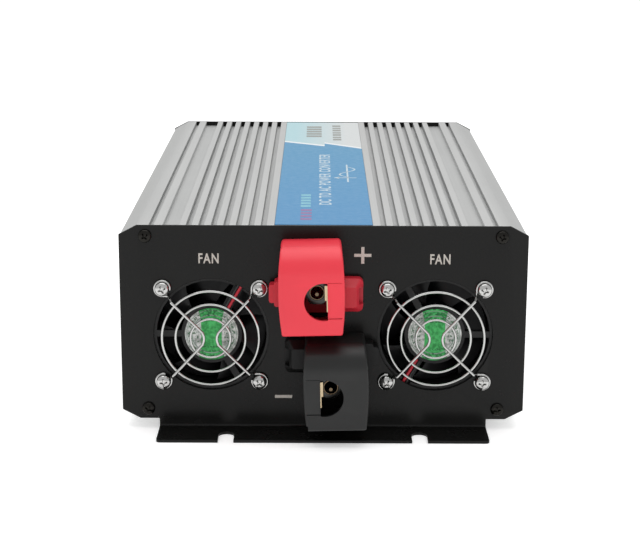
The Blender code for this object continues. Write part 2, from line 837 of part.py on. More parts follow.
def terminal_base(ear_z):
    """Insulator: a pad for the lug, an ear with a cable duct and a stepped boss opposite it."""
    top = max(PAD_HALF_HEIGHT, ear_z + EAR_HALF_HEIGHT - 0.4)
    pad = prism(rounded_rectangle(PAD_LEFT, PAD_RIGHT, -PAD_HALF_HEIGHT, top, 2, 3), "Y", PAD_FRONT, -GAP)
    web_half = EAR_HALF_HEIGHT - 1.0
    web = box((PAD_RIGHT - 2, PAD_FRONT + GAP, -web_half), (EAR_START + 1, -GAP - 0.2, web_half))
    duct = box((PAD_RIGHT - 1, DUCT_FRONT, -DUCT_HALF_HEIGHT), (EAR_END + 1, DUCT_BACK, DUCT_HALF_HEIGHT))
    sides = [ear_block(), web]
    steps = [boss_step(BOSS_ROOT, -GAP - 0.1), boss_step(BOSS_TIP, -GAP - 0.4)]
    for shape in [*sides, duct]:
        shape.transform(Matrix.Translation((0, 0, ear_z)))
    for shape in steps:
        shape.transform(Matrix.Translation((0, 0, ear_z + BOSS_RISE)))
    spigot = cylinder(SPIGOT_RADIUS, PAD_FRONT + 1, SPIGOT_END, 24, (STUD_OFFSET, 0))
    bore = cylinder(STUD_HOLE, -20, SPIGOT_END + 1, 16, (STUD_OFFSET, 0))
    return cut(fused(pad, *sides, *steps, spigot), duct, bore)


def cover_front(inset):
    """Side view of the cover's front, bottom to top, as (y, z) and drawn inward by the inset."""
    front = -COVER_REACH + inset
    bottom = COVER_BOTTOM + inset
    top = COVER_TOP - inset
    corner = COVER_CORNER if inset == 0 else COVER_CORNER / 2
    radius = COVER_ROUND - inset
    outline = arc((front + corner, bottom + corner), corner, 270, 180, 3)
    outline += [(front, -6.0), (front, 4.0)]
    outline += arc((front + radius, top - radius), radius, 180, 90, 8)
    return outline


def cover_half_width(z):
    """The sides bow out a little between the top and the bottom."""
    reach = COVER_TOP - COVER_MIDDLE
    return COVER_HALF_WIDTH + COVER_BULGE * (1 - ((z - COVER_MIDDLE) / reach) ** 2)


def cover_block(inset, back):
    """The cover's outline given its width at each height, as one block."""
    rings = []
    for y, z in cover_front(inset):
        left = COVER_CENTRE - cover_half_width(z) + inset
        right = COVER_CENTRE + cover_half_width(z) - inset
        rings.append([(left, y, z), (right, y, z), (right, back, z), (left, back, z)])
    return loft(rings)


def side_notch(near, far, half, front, centre_z):
    """Cutter for the gap in a cover's side wall that clears a lug of the base."""
    low = centre_z - half - NOTCH_MARGIN
    high = centre_z + half + NOTCH_MARGIN
    return box((near, front - NOTCH_MARGIN, low), (far, 1, high))


def terminal_cover(ear_z):
    """Pull-off cover: a shell with a sight hole and notches that clear the base's ear and boss."""
    front = -COVER_REACH
    cutoff = math.degrees(math.acos(SIGHT_FLAT / SIGHT_RADIUS))
    outline = arc((0, -SIGHT_DROP), SIGHT_RADIUS, cutoff, 360 - cutoff, 28)
    sight = prism(outline, "Y", front - 1, front + COVER_WALL + 1)
    tongue_low = (SIGHT_FLAT + 0.4, front - 1, TONGUE_BOTTOM)
    tongue = box(tongue_low, (20, front + TONGUE_DEPTH, TONGUE_TOP))
    ear_notch = side_notch(PAD_RIGHT - 0.8, 20, EAR_HALF_HEIGHT, EAR_FRONT, ear_z)
    _, root_half, root_front = BOSS_ROOT
    boss_notch = side_notch(-30, PAD_LEFT, root_half, root_front, ear_z + BOSS_RISE)
    shell = cut(cover_block(0.0, -GAP), cover_block(COVER_WALL, 3.0))
    return cut(shell, sight, tongue, ear_notch, boss_notch)


def terminal_stud():
    """Threaded stud with a pointed end and a collar behind the panel."""
    collar_front = SPIGOT_END + GAP
    collar_back = collar_front + COLLAR_THICKNESS
    profile = [
        (0, STUD_TIP),
        (STUD_TIP_RADIUS, STUD_TIP),
        (STUD_RADIUS, STUD_TIP + STUD_CONE),
        (STUD_RADIUS, collar_front),
        (COLLAR_RADIUS, collar_front),
        (COLLAR_RADIUS, collar_back),
        (STUD_RADIUS, collar_back),
        (STUD_RADIUS, SPIGOT_END + STUD_TAIL),
        (0, SPIGOT_END + STUD_TAIL),
    ]
    return solid(turned(profile, 12), "brass")


def terminal_washer():
    inner = STUD_RADIUS + GAP
    outer = NUT_RADIUS
    profile = [(inner, -WASHER_THICKNESS), (outer, -WASHER_THICKNESS), (outer, 0), (inner, 0)]
    return solid(turned(profile, 16), "nickel")


def terminal_nut():
    hexagon = prism(circle(NUT_RADIUS, 6), "Y", -NUT_THICKNESS, 0)
    bore = cylinder(STUD_RADIUS + GAP, -NUT_THICKNESS - 1, 1, 12)
    return solid(cut(hexagon, bore), "nickel")


def add_terminal(side, middle, offset, base, cover, shapes, front):
    x, z = middle
    centre = frame_at(f"{side}_terminal_axis", (x, 0, z), parent=front)
    place(f"{side}_terminal_base", base, centre)
    place(f"{side}_terminal_cover", cover, centre, (0, 0, 0), (0, COVER_LEAN, 0))
    place(f"{side}_terminal_stud", shapes["stud"], centre, (offset, 0, 0))
    place(f"{side}_terminal_washer", shapes["washer"], centre, (offset, WASHER_FACE, 0))
    place(f"{side}_terminal_nut", shapes["nut"], centre, (offset, NUT_FACE, 0))


def bus_bar(side, stud):
    """Copper strip from a stud's inner end, down to the main board and back along it."""
    front = SPIGOT_END + GAP + COLLAR_THICKNESS + GAP
    back = front + BUS_BAR_THICKNESS
    ring = prism(circle(BUS_BAR_RING, 16, stud), "Y", front, back)
    _, z = stud
    near = side * BUS_BAR_NEAR
    far = side * BUS_BAR_FAR
    left, right = sorted((near, far))
    drop = box((left, front, SEAT + 0.5), (right, back, z + 6.0))
    link = box((min(0.0, far), front, z - 6.0), (max(0.0, far), back, z + 6.0))
    foot = box((left, front, SEAT), (right, BOARD_START + 22, SEAT + 2.0))
    bore = cylinder(STUD_RADIUS + GAP, front - 1, back + 1, 12, stud)
    return solid(cut(fused(drop, ring, link, foot), bore), "copper")


# ---------------------------------------------------------------- outlet end


def outlet():
    """Round-well outlet: a square flange outside the panel and a round body behind it."""
    half = OUTLET_FLANGE / 2
    flange = prism(rounded_rectangle(-half, half, -half, half, 5, 4), "Y", -3.3, -GAP)
    body = cylinder(OUTLET_BODY, -1.0, 23.0, 28)
    well = cylinder(OUTLET_WELL, -5, OUTLET_DEPTH - 3.3, 28)
    pins = [cylinder(PIN_RADIUS, 10, 20, 10, (x, 0)) for x in (-PIN_PITCH / 2, PIN_PITCH / 2)]
    return solid(cut(fused(flange, body), well, *pins), "outlet")


def switch_housing():
    flange = prism(rounded_rectangle(-12.8, 12.8, -15.8, 15.8, 2, 3), "Y", -2.3, -GAP)
    body = box((-11.0, -1.0, -14.0), (11.0, 26.0, 14.0))
    pocket = box((-9.0, -4.0, -12.6), (9.0, 10.0, 12.6))
    return solid(cut(fused(flange, body), pocket), "black_plastic")


def rocker():
    """Rocker with two raised ends; its hinge line is its own origin."""
    section = [
        (-5.6, 11.4),
        (-5.2, 10.4),
        (-3.9, 0.0),
        (-5.2, -10.4),
        (-5.6, -11.4),
        (-1.5, -11.0),
        (4.0, -4.0),
        (4.0, 4.0),
        (-1.5, 11.0),
    ]
    return solid(prism(section, "X", -8.5, 8.5), "rocker")


def usb_port():
    flange = prism(rounded_rectangle(-9.0, 9.0, -5.0, 5.0, 1.2, 3), "Y", -1.3, -GAP)
    body = box((-7.5, -1.0, -3.8), (7.5, 14.0, 3.8))
    mouth = box((-6.4, -3.0, -2.7), (6.4, 11.0, 2.7))
    tongue = box((-5.4, 0.5, -0.2), (5.4, 12.0, 1.6))
    return solid(fused(cut(fused(flange, body), mouth), tongue), "black_plastic")


def led(colour):
    """Domed indicator with a collar behind the panel."""
    dome = [(0, -2.6), (1.25, -2.25), (2.1, -1.4), (2.5, 0)]
    collar = [(2.5, SHEET + GAP), (3.2, SHEET + GAP), (3.2, SHEET + 1.5), (0, SHEET + 1.5)]
    return solid(turned(dome + collar, 10), colour)


def ground_screw():
    head = prism(circle(5.6, 6), "Y", -6.0, -1.4)
    washer = cylinder(6.5, -1.5, -GAP, 20)
    stud = cylinder(2.5, -1.0, 12.0, 12)
    return solid(fused(washer, head, stud), "brass")


def add_outlet_end(rear):
    place("rear_panel", rear_panel(), rear)
    shape = outlet()
    for number, x in enumerate(OUTLET_X, 1):
        place(f"ac_outlet_{number}", shape, rear, (x, 0, OUTLET_Z))
    place("power_switch_housing", switch_housing(), rear, (SWITCH_X, 0, SWITCH_Z))
    place("power_rocker", rocker(), rear, (SWITCH_X, SWITCH_PIVOT, SWITCH_Z), (SWITCH_TILT, 0, 0))
    place("usb_port", usb_port(), rear, (USB_X, 0, USB_Z))
    place("power_led", led("green_lens"), rear, (LED_X[0], 0, LED_Z))
    place("fault_led", led("red_lens"), rear, (LED_X[1], 0, LED_Z))
    place("ground_screw", ground_screw(), rear, (GROUND_X, 0, GROUND_Z))


# ---------------------------------------------------------------- inside


def main_board():
    half = BOARD_HALF_WIDTH
    return solid(box((-half, BOARD_START, BOARD_BASE), (half, BOARD_END, BOARD_TOP)), "board")


def control_board():
    return solid(box((-5, 215, SEAT), (65, 216.6, 66)), "board")


def transformer_core():
    """Ferrite block with two windows on either side of its middle leg."""
    block = box((-25, -12, SEAT), (25, 12, SEAT + 48))
    windows = [box((x, -13, SEAT + 8), (x + 10, 13, SEAT + 40)) for x in (-17.5, 7.5)]
    return solid(cut(block, *windows), "ferrite")


def transformer_winding():
    """Copper coil round the core's middle leg, filling both windows."""
    coil = prism(rounded_rectangle(-17.2, 17.2, -21, 21, 4, 3), "Z", SEAT + 8.5, SEAT + 39.5)
    leg = box((-7.8, -12.3, 0), (7.8, 12.3, 90))
    return solid(cut(coil, leg), "winding")


def standing_capacitor(radius, height):
    """Can standing on the main board with a rolled edge at its foot."""
    groove_depth = 0.8
    profile = [
        (0, 0),
        (radius, 0),
        (radius, 3),
        (radius - groove_depth, 4),
        (radius, 5),
        (radius, height - 1),
        (radius - 1, height),
        (0, height),
    ]
    return solid(stood_up(turned(profile, 14)), "capacitor")


def inductor():
    """Toroid lying flat, core and winding as one ring."""
    path = [(x, 0, z) for x, z in circle(16, 18)]
    return solid(stood_up(swept(circle(7, 8), path, closed=True)), "winding")


def heat_sink(side):
    """Finned bar that stands along a side wall."""
    outline = [(98.3, 18.0), (98.3, 62.0), (94.3, 62.0)]
    for fin in range(4):
        top = 60.0 - 11.0 * fin
        outline += [(94.3, top), (82.0, top), (82.0, top - 2.2), (94.3, top - 2.2)]
    outline.append((94.3, 18.0))
    return solid(prism([(side * x, z) for x, z in outline], "Y", 70.0, 280.0), "anodised")


def add_inside(front):
    place("main_circuit_board", main_board(), front)
    place("control_board", control_board(), front)
    place("transformer_core", transformer_core(), front, (-38, 120, 0))
    place("transformer_winding", transformer_winding(), front, (-38, 120, 0))
    place("input_capacitor", standing_capacitor(9, 35), front, (48, 90, SEAT))
    place("bulk_capacitor", standing_capacitor(17.5, 45), front, (-40, 245, SEAT))
    place("output_inductor", inductor(), front, (42, 160, SEAT + 7.0))
    place("left_heat_sink", heat_sink(-1), front)
    place("right_heat_sink", heat_sink(1), front)
    place("positive_bus_bar", bus_bar(1, POSITIVE_STUD), front)
    place("negative_bus_bar", bus_bar(-1, NEGATIVE_STUD), front)


# ---------------------------------------------------------------- whole object


def add_housing(front):
    place("top_housing", half_shell(True), front, (0, 0, HALF_HEIGHT))
    place("bottom_housing", half_shell(False), front, (0, 0, HALF_HEIGHT), (0, 180, 0))
    place("top_overlay", overlay(), front)


def add_panel_screws(name, panel, shape):
    heights = (PANEL_SCREW_EDGE, PANEL_HEIGHT - PANEL_SCREW_EDGE)
    places = [(x, z) for x in (-PANEL_SCREW_X, PANEL_SCREW_X) for z in heights]
    for number, (x, z) in enumerate(places, 1):
        place(f"{name}_panel_screw_{number}", shape, panel, (x, -GAP, z))


def add_fans(front):
    shapes = {
        "frame": fan_frame(),
        "rotor": fan_rotor(),
        "guard": fan_guard(),
        "label": hub_label(),
        "screw": fan_screw(),
    }
    left_tail = ((19.0, 20, 33.0), (19.0, 30, 32.0), (19.0, 36, 26.0), (19.0, 42, -8.0), (19.0, 46, -28.0))
    right_tail = ((19.0, 20, 33.0), (19.0, 30, 32.4), (19.0, 38, 29.6), (19.0, 46, 28.6), (19.0, 56, 28.6))
    add_fan("left", -FAN_X, 0, shapes, left_tail, front)
    add_fan("right", FAN_X, 180, shapes, right_tail, front)


def add_terminals(front):
    shapes = {"stud": terminal_stud(), "washer": terminal_washer(), "nut": terminal_nut()}
    base = solid(terminal_base(POSITIVE_EAR_Z), "red_plastic")
    cover = solid(terminal_cover(POSITIVE_EAR_Z), "red_plastic")
    add_terminal("positive", POSITIVE_CENTRE, STUD_OFFSET, base, cover, shapes, front)
    base = solid(mirrored(terminal_base(NEGATIVE_EAR_Z)), "cover_black")
    cover = solid(mirrored(terminal_cover(NEGATIVE_EAR_Z)), "cover_black")
    add_terminal("negative", NEGATIVE_CENTRE, -STUD_OFFSET, base, cover, shapes, front)


def build():
    clear_scene()
    front = frame_at("front_end", (0, FRONT_Y, FOOT_DROP))
    rear = frame_at("rear_end", (0, REAR_Y, FOOT_DROP), (0, 0, 180))
    screw = pan_screw(3.5, 2.0, 1.5, 12.0, "black_steel")
    add_housing(front)
    place("front_panel", front_panel(), front)
    add_panel_screws("front", front, screw)
    add_fans(front)
    add_terminals(front)
    add_inside(front)
    add_outlet_end(rear)
    add_panel_screws("rear", rear, screw)


build()
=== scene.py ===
import math

import bmesh
import bpy
from mathutils import Matrix, Vector


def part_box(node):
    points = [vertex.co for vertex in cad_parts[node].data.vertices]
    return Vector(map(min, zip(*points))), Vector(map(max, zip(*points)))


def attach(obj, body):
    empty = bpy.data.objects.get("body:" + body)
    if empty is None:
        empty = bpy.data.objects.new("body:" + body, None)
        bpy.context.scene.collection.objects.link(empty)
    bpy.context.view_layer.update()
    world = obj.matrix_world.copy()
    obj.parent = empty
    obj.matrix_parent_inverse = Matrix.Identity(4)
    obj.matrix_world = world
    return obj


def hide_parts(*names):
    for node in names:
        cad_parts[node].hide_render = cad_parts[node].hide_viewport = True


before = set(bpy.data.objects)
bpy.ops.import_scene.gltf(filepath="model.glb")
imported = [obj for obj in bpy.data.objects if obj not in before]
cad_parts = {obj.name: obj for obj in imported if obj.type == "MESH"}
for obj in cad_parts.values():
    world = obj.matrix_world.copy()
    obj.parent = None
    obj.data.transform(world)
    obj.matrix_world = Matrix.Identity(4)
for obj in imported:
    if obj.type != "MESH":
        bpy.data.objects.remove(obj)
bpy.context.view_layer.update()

# Shapes are written in millimetres in the frame of the end panel that they sit on: y = 0 is the
# panel's outer face, -y is outward and z = 0 is the panel's lower edge. placed() turns each
# finished mesh into metres in the row frame.
MM = 0.001
SHEET = 1.5
GAP = 0.3
PANEL_HEIGHT = 104.0


def row_mm(node, corner):
    """One corner of a node's box, in millimetres."""
    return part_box(node)[corner] / MM


FRONT_Y = row_mm("front_panel", 1).y - SHEET
REAR_Y = row_mm("rear_panel", 0).y + SHEET
BASE_Z = row_mm("front_panel", 1).z - PANEL_HEIGHT
FRONT = Matrix.Translation((0, FRONT_Y, BASE_Z))
REAR = Matrix.Translation((0, REAR_Y, BASE_Z)) @ Matrix.Rotation(math.pi, 4, "Z")


# ---------------------------------------------------------------- mesh tools


def to_mesh(bm):
    bmesh.ops.remove_doubles(bm, verts=bm.verts, dist=1e-5)
    bmesh.ops.recalc_face_normals(bm, faces=bm.faces)
    mesh = bpy.data.meshes.new("shape")
    bm.to_mesh(mesh)
    bm.free()
    return mesh


def loft(rings, closed=False, caps=True):
    """Surface through rings of points; a closed loft joins its last ring to its first."""
    bm = bmesh.new()
    loops = [[bm.verts.new(point) for point in ring] for ring in rings]
    spans = list(zip(loops, loops[1:]))
    if closed:
        spans.append((loops[-1], loops[0]))
    elif caps:
        bm.faces.new(loops[0])
        bm.faces.new(loops[-1])
    for low, high in spans:
        for here in range(len(low)):
            after = (here + 1) % len(low)
            bm.faces.new((low[here], low[after], high[after], high[here]))
    return to_mesh(bm)


def lifted(outline, axis, level):
    if axis == "X":
        return [(level, first, second) for first, second in outline]
    if axis == "Y":
        return [(first, level, second) for first, second in outline]
    return [(first, second, level) for first, second in outline]


def prism(outline, axis, low, high):
    return loft([lifted(outline, axis, low), lifted(outline, axis, high)])


def box(low, high):
    corners = ((low[0], low[2]), (high[0], low[2]), (high[0], high[2]), (low[0], high[2]))
    return prism(corners, "Y", low[1], high[1])


def arc(centre, radius, start, end, steps):
    points = []
    for step in range(steps + 1):
        angle = math.radians(start + (end - start) * step / steps)
        points.append((centre[0] + radius * math.cos(angle), centre[1] + radius * math.sin(angle)))
    return points


def circle(radius, sides, centre=(0.0, 0.0)):
    return arc(centre, radius, 0, 360, sides)[:-1]


def rounded_rectangle(left, right, bottom, top, radius, steps=6):
    outline = []
    outline += arc((right - radius, bottom + radius), radius, -90, 0, steps)
    outline += arc((right - radius, top - radius), radius, 0, 90, steps)
    outline += arc((left + radius, top - radius), radius, 90, 180, steps)
    outline += arc((left + radius, bottom + radius), radius, 180, 270, steps)
    return outline


def cylinder(radius, low, high, sides=48, centre=(0.0, 0.0)):
    return prism(circle(radius, sides, centre), "Y", low, high)


def turned(profile, sides=48):
    """Solid of revolution about Y; the profile is a closed loop of (radius, y)."""
    rings = []
    for side in range(sides):
        angle = math.tau * side / sides
        rings.append([(r * math.cos(angle), y, r * math.sin(angle)) for r, y in profile])
    return loft(rings, closed=True)


def swept(section, path, closed=False):
    """The section, as (across, up) points, carried along a path without twist."""
    points = [Vector(point) for point in path]
    count = len(points)
    rings = []
    normal = None
    for here in range(count):
        before = points[here - 1] if closed or here else points[here]
        after = points[(here + 1) % count] if closed or here + 1 < count else points[here]
        tangent = (after - before).normalized()
        if normal is None:
            normal = tangent.cross(Vector((0, 1, 0))).normalized()
        normal = (normal - tangent * normal.dot(tangent)).normalized()
        binormal = tangent.cross(normal)
        rings.append([points[here] + normal * across + binormal * up for across, up in section])
    return loft(rings, closed)


def smooth_path(points, steps=6):
    """A Catmull-Rom curve through the points."""
    points = [Vector(point) for point in points]
    ends = [points[0] * 2 - points[1], *points, points[-1] * 2 - points[-2]]
    curve = []
    for first, second, third, fourth in zip(ends, ends[1:], ends[2:], ends[3:]):
        for step in range(steps):
            t = step / steps
            curve.append(
                0.5
                * (
                    2 * second
                    + (third - first) * t
                    + (2 * first - 5 * second + 4 * third - fourth) * t * t
                    + (3 * second - first - 3 * third + fourth) * t**3
                )
            )
    curve.append(points[-1])
    return curve


def boolean(operation, base, tools):
    target = bpy.data.objects.new("target", base)
    bpy.context.scene.collection.objects.link(target)
    helpers = []
    for tool in tools:
        helper = bpy.data.objects.new("helper", tool)
        bpy.context.scene.collection.objects.link(helper)
        helpers.append(helper)
        modifier = target.modifiers.new("Boolean", "BOOLEAN")
        modifier.operation = operation
        modifier.object = helper
    graph = bpy.context.evaluated_depsgraph_get()
    mesh = bpy.data.meshes.new_from_object(target.evaluated_get(graph))
    for helper in [target, *helpers]:
        bpy.data.objects.remove(helper, do_unlink=True)
    return mesh


def cut(base, *tools):
    return boolean("DIFFERENCE", base, tools)


def fused(base, *tools):
    return boolean("UNION", base, tools)


def common(base, *tools):
    return boolean("INTERSECT", base, tools)


def turned_about_y(mesh, degrees):
    mesh.transform(Matrix.Rotation(-math.radians(degrees), 4, "Y"))
    return mesh


def moved(mesh, offset):
    mesh.transform(Matrix.Translation(offset))
    return mesh


def joined(*meshes):
    """Several closed shapes kept side by side in one mesh."""
    bm = bmesh.new()
    for mesh in meshes:
        bm.from_mesh(mesh)
    mesh = bpy.data.meshes.new("shape")
    bm.to_mesh(mesh)
    bm.free()
    return mesh


# ---------------------------------------------------------------- pieces


def soften(piece, width, segments=2, angle=28):
    """Rounds the piece's sharp edges and shades it smooth."""
    if width:
        modifier = piece.modifiers.new("Bevel", "BEVEL")
        modifier.width = width * MM
        modifier.segments = segments
        modifier.limit_method = "ANGLE"
        modifier.angle_limit = math.radians(angle)
        modifier.harden_normals = True
        modifier.use_clamp_overlap = True
    piece.data.shade_smooth()
    piece.data.set_sharp_from_angle(angle=math.radians(34))


def placed(name, mesh, where, material, body="chassis", bevel=0.0, segments=2, stands_for=()):
    """A finished piece in the row frame, riding on its body and wearing its material."""
    mesh = mesh.copy()
    mesh.transform(Matrix.Scale(MM, 4) @ where)
    mesh.materials.clear()
    mesh.materials.append(material)
    piece = bpy.data.objects.new(name, mesh)
    bpy.context.scene.collection.objects.link(piece)
    soften(piece, bevel, segments)
    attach(piece, body)
    if stands_for:
        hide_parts(*stands_for)
    return piece


def refined(node, material, bevel, segments=2, body="chassis"):
    """A CAD node's own shape with clean flat faces and softened edges, shown in its place."""
    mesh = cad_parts[node].data.copy()
    bm = bmesh.new()
    bm.from_mesh(mesh)
    bmesh.ops.remove_doubles(bm, verts=bm.verts, dist=2e-6)
    bmesh.ops.dissolve_limit(bm, angle_limit=math.radians(0.6), verts=bm.verts, edges=bm.edges)
    bmesh.ops.recalc_face_normals(bm, faces=bm.faces)
    clean = bpy.data.meshes.new("shape")
    bm.to_mesh(clean)
    bm.free()
    clean.materials.append(material)
    piece = bpy.data.objects.new(node + "_finish", clean)
    bpy.context.scene.collection.objects.link(piece)
    soften(piece, bevel, segments)
    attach(piece, body)
    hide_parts(node)
    return piece


# ---------------------------------------------------------------- materials


class Shader:
    """A Principled material with short calls for the nodes that feed it."""

    def __init__(self, name):
        self.material = bpy.data.materials.new(name)
        self.material.use_nodes = True
        self.tree = self.material.node_tree
        self.base = self.tree.nodes["Principled BSDF"]
        self.coordinates = self.tree.nodes.new("ShaderNodeTexCoord").outputs["Object"]

    def set(self, **values):
        names = {
            "roughness": "Roughness",
            "metallic": "Metallic",
            "specular": "Specular IOR Level",
            "coat": "Coat Weight",
            "coat_roughness": "Coat Roughness",
            "sheen": "Sheen Weight",
            "sheen_roughness": "Sheen Roughness",
            "anisotropic": "Anisotropic",
            "transmission": "Transmission Weight",
            "ior": "IOR",
            "subsurface": "Subsurface Weight",
            "emission": "Emission Strength",
        }
        for key, value in values.items():
            self.base.inputs[names[key]].default_value = value

    def link(self, source, target):
        self.tree.links.new(source, target)

    def stretched(self, scale):
        node = self.tree.nodes.new("ShaderNodeMapping")
        node.inputs["Scale"].default_value = scale
        self.link(self.coordinates, node.inputs["Vector"])
        return node.outputs["Vector"]

    def noise(self, scale, detail=3.0, stretch=None, roughness=0.55):
        node = self.tree.nodes.new("ShaderNodeTexNoise")
        node.inputs["Scale"].default_value = scale
        node.inputs["Detail"].default_value = detail
        node.inputs["Roughness"].default_value = roughness
        self.link(self.stretched(stretch) if stretch else self.coordinates, node.inputs["Vector"])
        return node.outputs["Fac"]

    def mapped(self, value, low, high, start=0.25, stop=0.75):
        node = self.tree.nodes.new("ShaderNodeMapRange")
        node.inputs["From Min"].default_value = start
        node.inputs["From Max"].default_value = stop
        node.inputs["To Min"].default_value = low
        node.inputs["To Max"].default_value = high
        self.link(value, node.inputs["Value"])
        return node.outputs["Result"]

    def math(self, operation, first, second=None):
        node = self.tree.nodes.new("ShaderNodeMath")
        node.operation = operation
        for socket, value in zip(node.inputs, (first, second)):
            if value is None:
                continue
            if isinstance(value, (int, float)):
                socket.default_value = value
            else:
                self.link(value, socket)
        return node.outputs["Value"]

    def mix(self, factor, first, second):
        """Mixes two colours; each is an RGB tuple or a socket."""
        node = self.tree.nodes.new("ShaderNodeMix")
        node.data_type = "RGBA"
        if isinstance(factor, (int, float)):
            node.inputs[0].default_value = factor
        else:
            self.link(factor, node.inputs[0])
        for socket, value in ((node.inputs[6], first), (node.inputs[7], second)):
            if isinstance(value, tuple):
                socket.default_value = (*value, 1.0)
            else:
                self.link(value, socket)
        return node.outputs[2]

    def axes(self):
        node = self.tree.nodes.new("ShaderNodeSeparateXYZ")
        self.link(self.coordinates, node.inputs["Vector"])
        return node.outputs["X"], node.outputs["Y"], node.outputs["Z"]

    def edges(self):
        """Near 1 along outer edges."""
        node = self.tree.nodes.new("ShaderNodeNewGeometry")
        return self.mapped(node.outputs["Pointiness"], 0.0, 1.0, 0.51, 0.60)

    def bump(self, *layers):
        """Layers of (height, strength, distance in millimetres), the coarsest first."""
        normal = None
        for height, strength, distance in layers:
            node = self.tree.nodes.new("ShaderNodeBump")
            node.inputs["Strength"].default_value = strength
            node.inputs["Distance"].default_value = distance * MM
            self.link(height, node.inputs["Height"])
            if normal:
                self.link(normal, node.inputs["Normal"])
            normal = node.outputs["Normal"]
        self.link(normal, self.base.inputs["Normal"])

    def colour(self, source):
        self.link(source, self.base.inputs["Base Color"])

    def rough(self, source):
        self.link(source, self.base.inputs["Roughness"])


def scaled(colour, factor):
    return tuple(min(1.0, channel * factor) for channel in colour)


def moulded(name, colour, roughness, worn=1.25, grain=2600, relief=0.012, patch=45, specular=0.5, coat=0.0):
    """Moulded plastic: faint flow patches, fine spark texture and slightly lighter edges."""
    shader = Shader(name)
    shader.set(specular=specular, coat=coat, coat_roughness=0.25)
    flow = shader.mapped(shader.noise(patch, 2.0), 0.0, 1.0)
    body = shader.mix(flow, scaled(colour, 0.94), scaled(colour, 1.05))
    shader.colour(shader.mix(shader.math("MULTIPLY", shader.edges(), 0.35), body, scaled(colour, worn)))
    shader.rough(shader.mapped(shader.noise(180, 4.0), roughness - 0.05, roughness + 0.06))
    shader.bump((shader.noise(grain, 2.0), 0.35, relief))
    return shader.material


def plated(name, colour, roughness, streak=(1, 1, 1), relief=0.004):
    """Plated or bare metal: slight haze, fine scratches and darker low spots."""
    shader = Shader(name)
    shader.set(metallic=1.0)
    haze = shader.mapped(shader.noise(120, 4.0), 0.0, 1.0)
    shader.colour(shader.mix(haze, scaled(colour, 0.90), scaled(colour, 1.03)))
    scratches = shader.noise(2200, 3.0, streak)
    wear = shader.math("ADD", shader.math("MULTIPLY", haze, 0.6), scratches)
    shader.rough(shader.mapped(wear, roughness * 0.7, roughness * 1.5, 0.3, 1.2))
    shader.bump((scratches, 0.25, relief))
    return shader.material


def anodised():
    """Bead-blasted, anodised extrusion: draw lines along its length and a fine sparkle.

    The tone is set darker beyond 90 mm from the middle, to balance the stage light on the sides.
    """
    shader = Shader("anodised_aluminium")
    shader.set(metallic=0.86)
    lines = shader.noise(260, 3.0, (3.0, 0.012, 3.0))
    blast = shader.noise(4200, 2.0)
    cloud = shader.mapped(shader.noise(22, 3.0), 0.0, 1.0)
    tone = shader.mix(cloud, (0.455, 0.460, 0.455), (0.500, 0.505, 0.500))
    tone = shader.mix(shader.mapped(lines, 0.0, 0.5), tone, (0.540, 0.545, 0.540))
    tone = shader.mix(shader.mapped(blast, 0.0, 0.22, 0.45, 0.8), tone, (0.66, 0.66, 0.65))
    x, _, _ = shader.axes()
    outer = shader.mapped(shader.math("ABSOLUTE", x), 0.0, 0.45, 0.090, 0.098)
    tone = shader.mix(outer, tone, (0.34, 0.345, 0.34))
    shader.colour(shader.mix(shader.math("MULTIPLY", shader.edges(), 0.30), tone, (0.70, 0.70, 0.69)))
    shader.rough(shader.mapped(blast, 0.40, 0.56))
    shader.bump((lines, 0.20, 0.02), (blast, 0.30, 0.012))
    return shader.material


def powder_coat():
    """Semi-gloss black powder coat with a faint orange peel and rubbed edges."""
    shader = Shader("black_powder_coat")
    shader.set(specular=0.17)
    dust = shader.mapped(shader.noise(900, 4.0), 0.0, 1.0, 0.5, 0.8)
    tone = shader.mix(dust, (0.0038, 0.0038, 0.0035), (0.0075, 0.0075, 0.0070))
    shader.colour(shader.mix(shader.math("MULTIPLY", shader.edges(), 0.3), tone, (0.020, 0.020, 0.019)))
    shader.rough(shader.mapped(shader.noise(60, 4.0), 0.20, 0.30))
    shader.bump((shader.noise(420, 2.0), 0.12, 0.03), (shader.noise(2400, 2.0), 0.10, 0.006))
    return shader.material


def overlay_print():
    """Printed film: blue, with a pale far end that starts at a stepped slanting line."""
    shader = Shader("overlay_film")
    shader.set(specular=0.22)
    x, y, _ = shader.axes()
    x_mm = shader.math("MULTIPLY", x, 1 / MM)
    y_mm = shader.math("SUBTRACT", shader.math("MULTIPLY", y, 1 / MM), FRONT_Y)
    left_line = shader.math("ADD", shader.math("MULTIPLY", x_mm, -0.60), 235.0)
    right_line = shader.math("ADD", shader.math("MULTIPLY", x_mm, -0.80), 245.6)
    right_side = shader.math("GREATER_THAN", x_mm, 1.2)
    step = shader.math("MULTIPLY", shader.math("SUBTRACT", right_line, left_line), right_side)
    line = shader.math("ADD", left_line, step)
    beyond = shader.math("SUBTRACT", y_mm, line)
    pale = shader.math("GREATER_THAN", beyond, 0.0)
    rim = shader.math("MULTIPLY", pale, shader.math("LESS_THAN", beyond, 4.5))
    fade = shader.mapped(x_mm, 0.0, 1.0, -18.0, 16.0)
    far = shader.mix(fade, (0.36, 0.54, 0.58), (0.54, 0.56, 0.56))
    deep = shader.mapped(y_mm, 0.0, 1.0, 20.0, 240.0)
    blue = shader.mix(deep, (0.046, 0.222, 0.440), (0.050, 0.235, 0.415))
    speck = shader.mapped(shader.noise(1500, 2.0), 0.0, 0.10)
    blue = shader.mix(speck, blue, (0.20, 0.38, 0.55))
    colour = shader.mix(rim, shader.mix(pale, blue, far), (0.70, 0.72, 0.72))
    shader.colour(colour)
    shader.rough(shader.mapped(shader.noise(300, 3.0), 0.32, 0.44))
    shader.bump((shader.noise(1800, 2.0), 0.15, 0.008))
    return shader.material


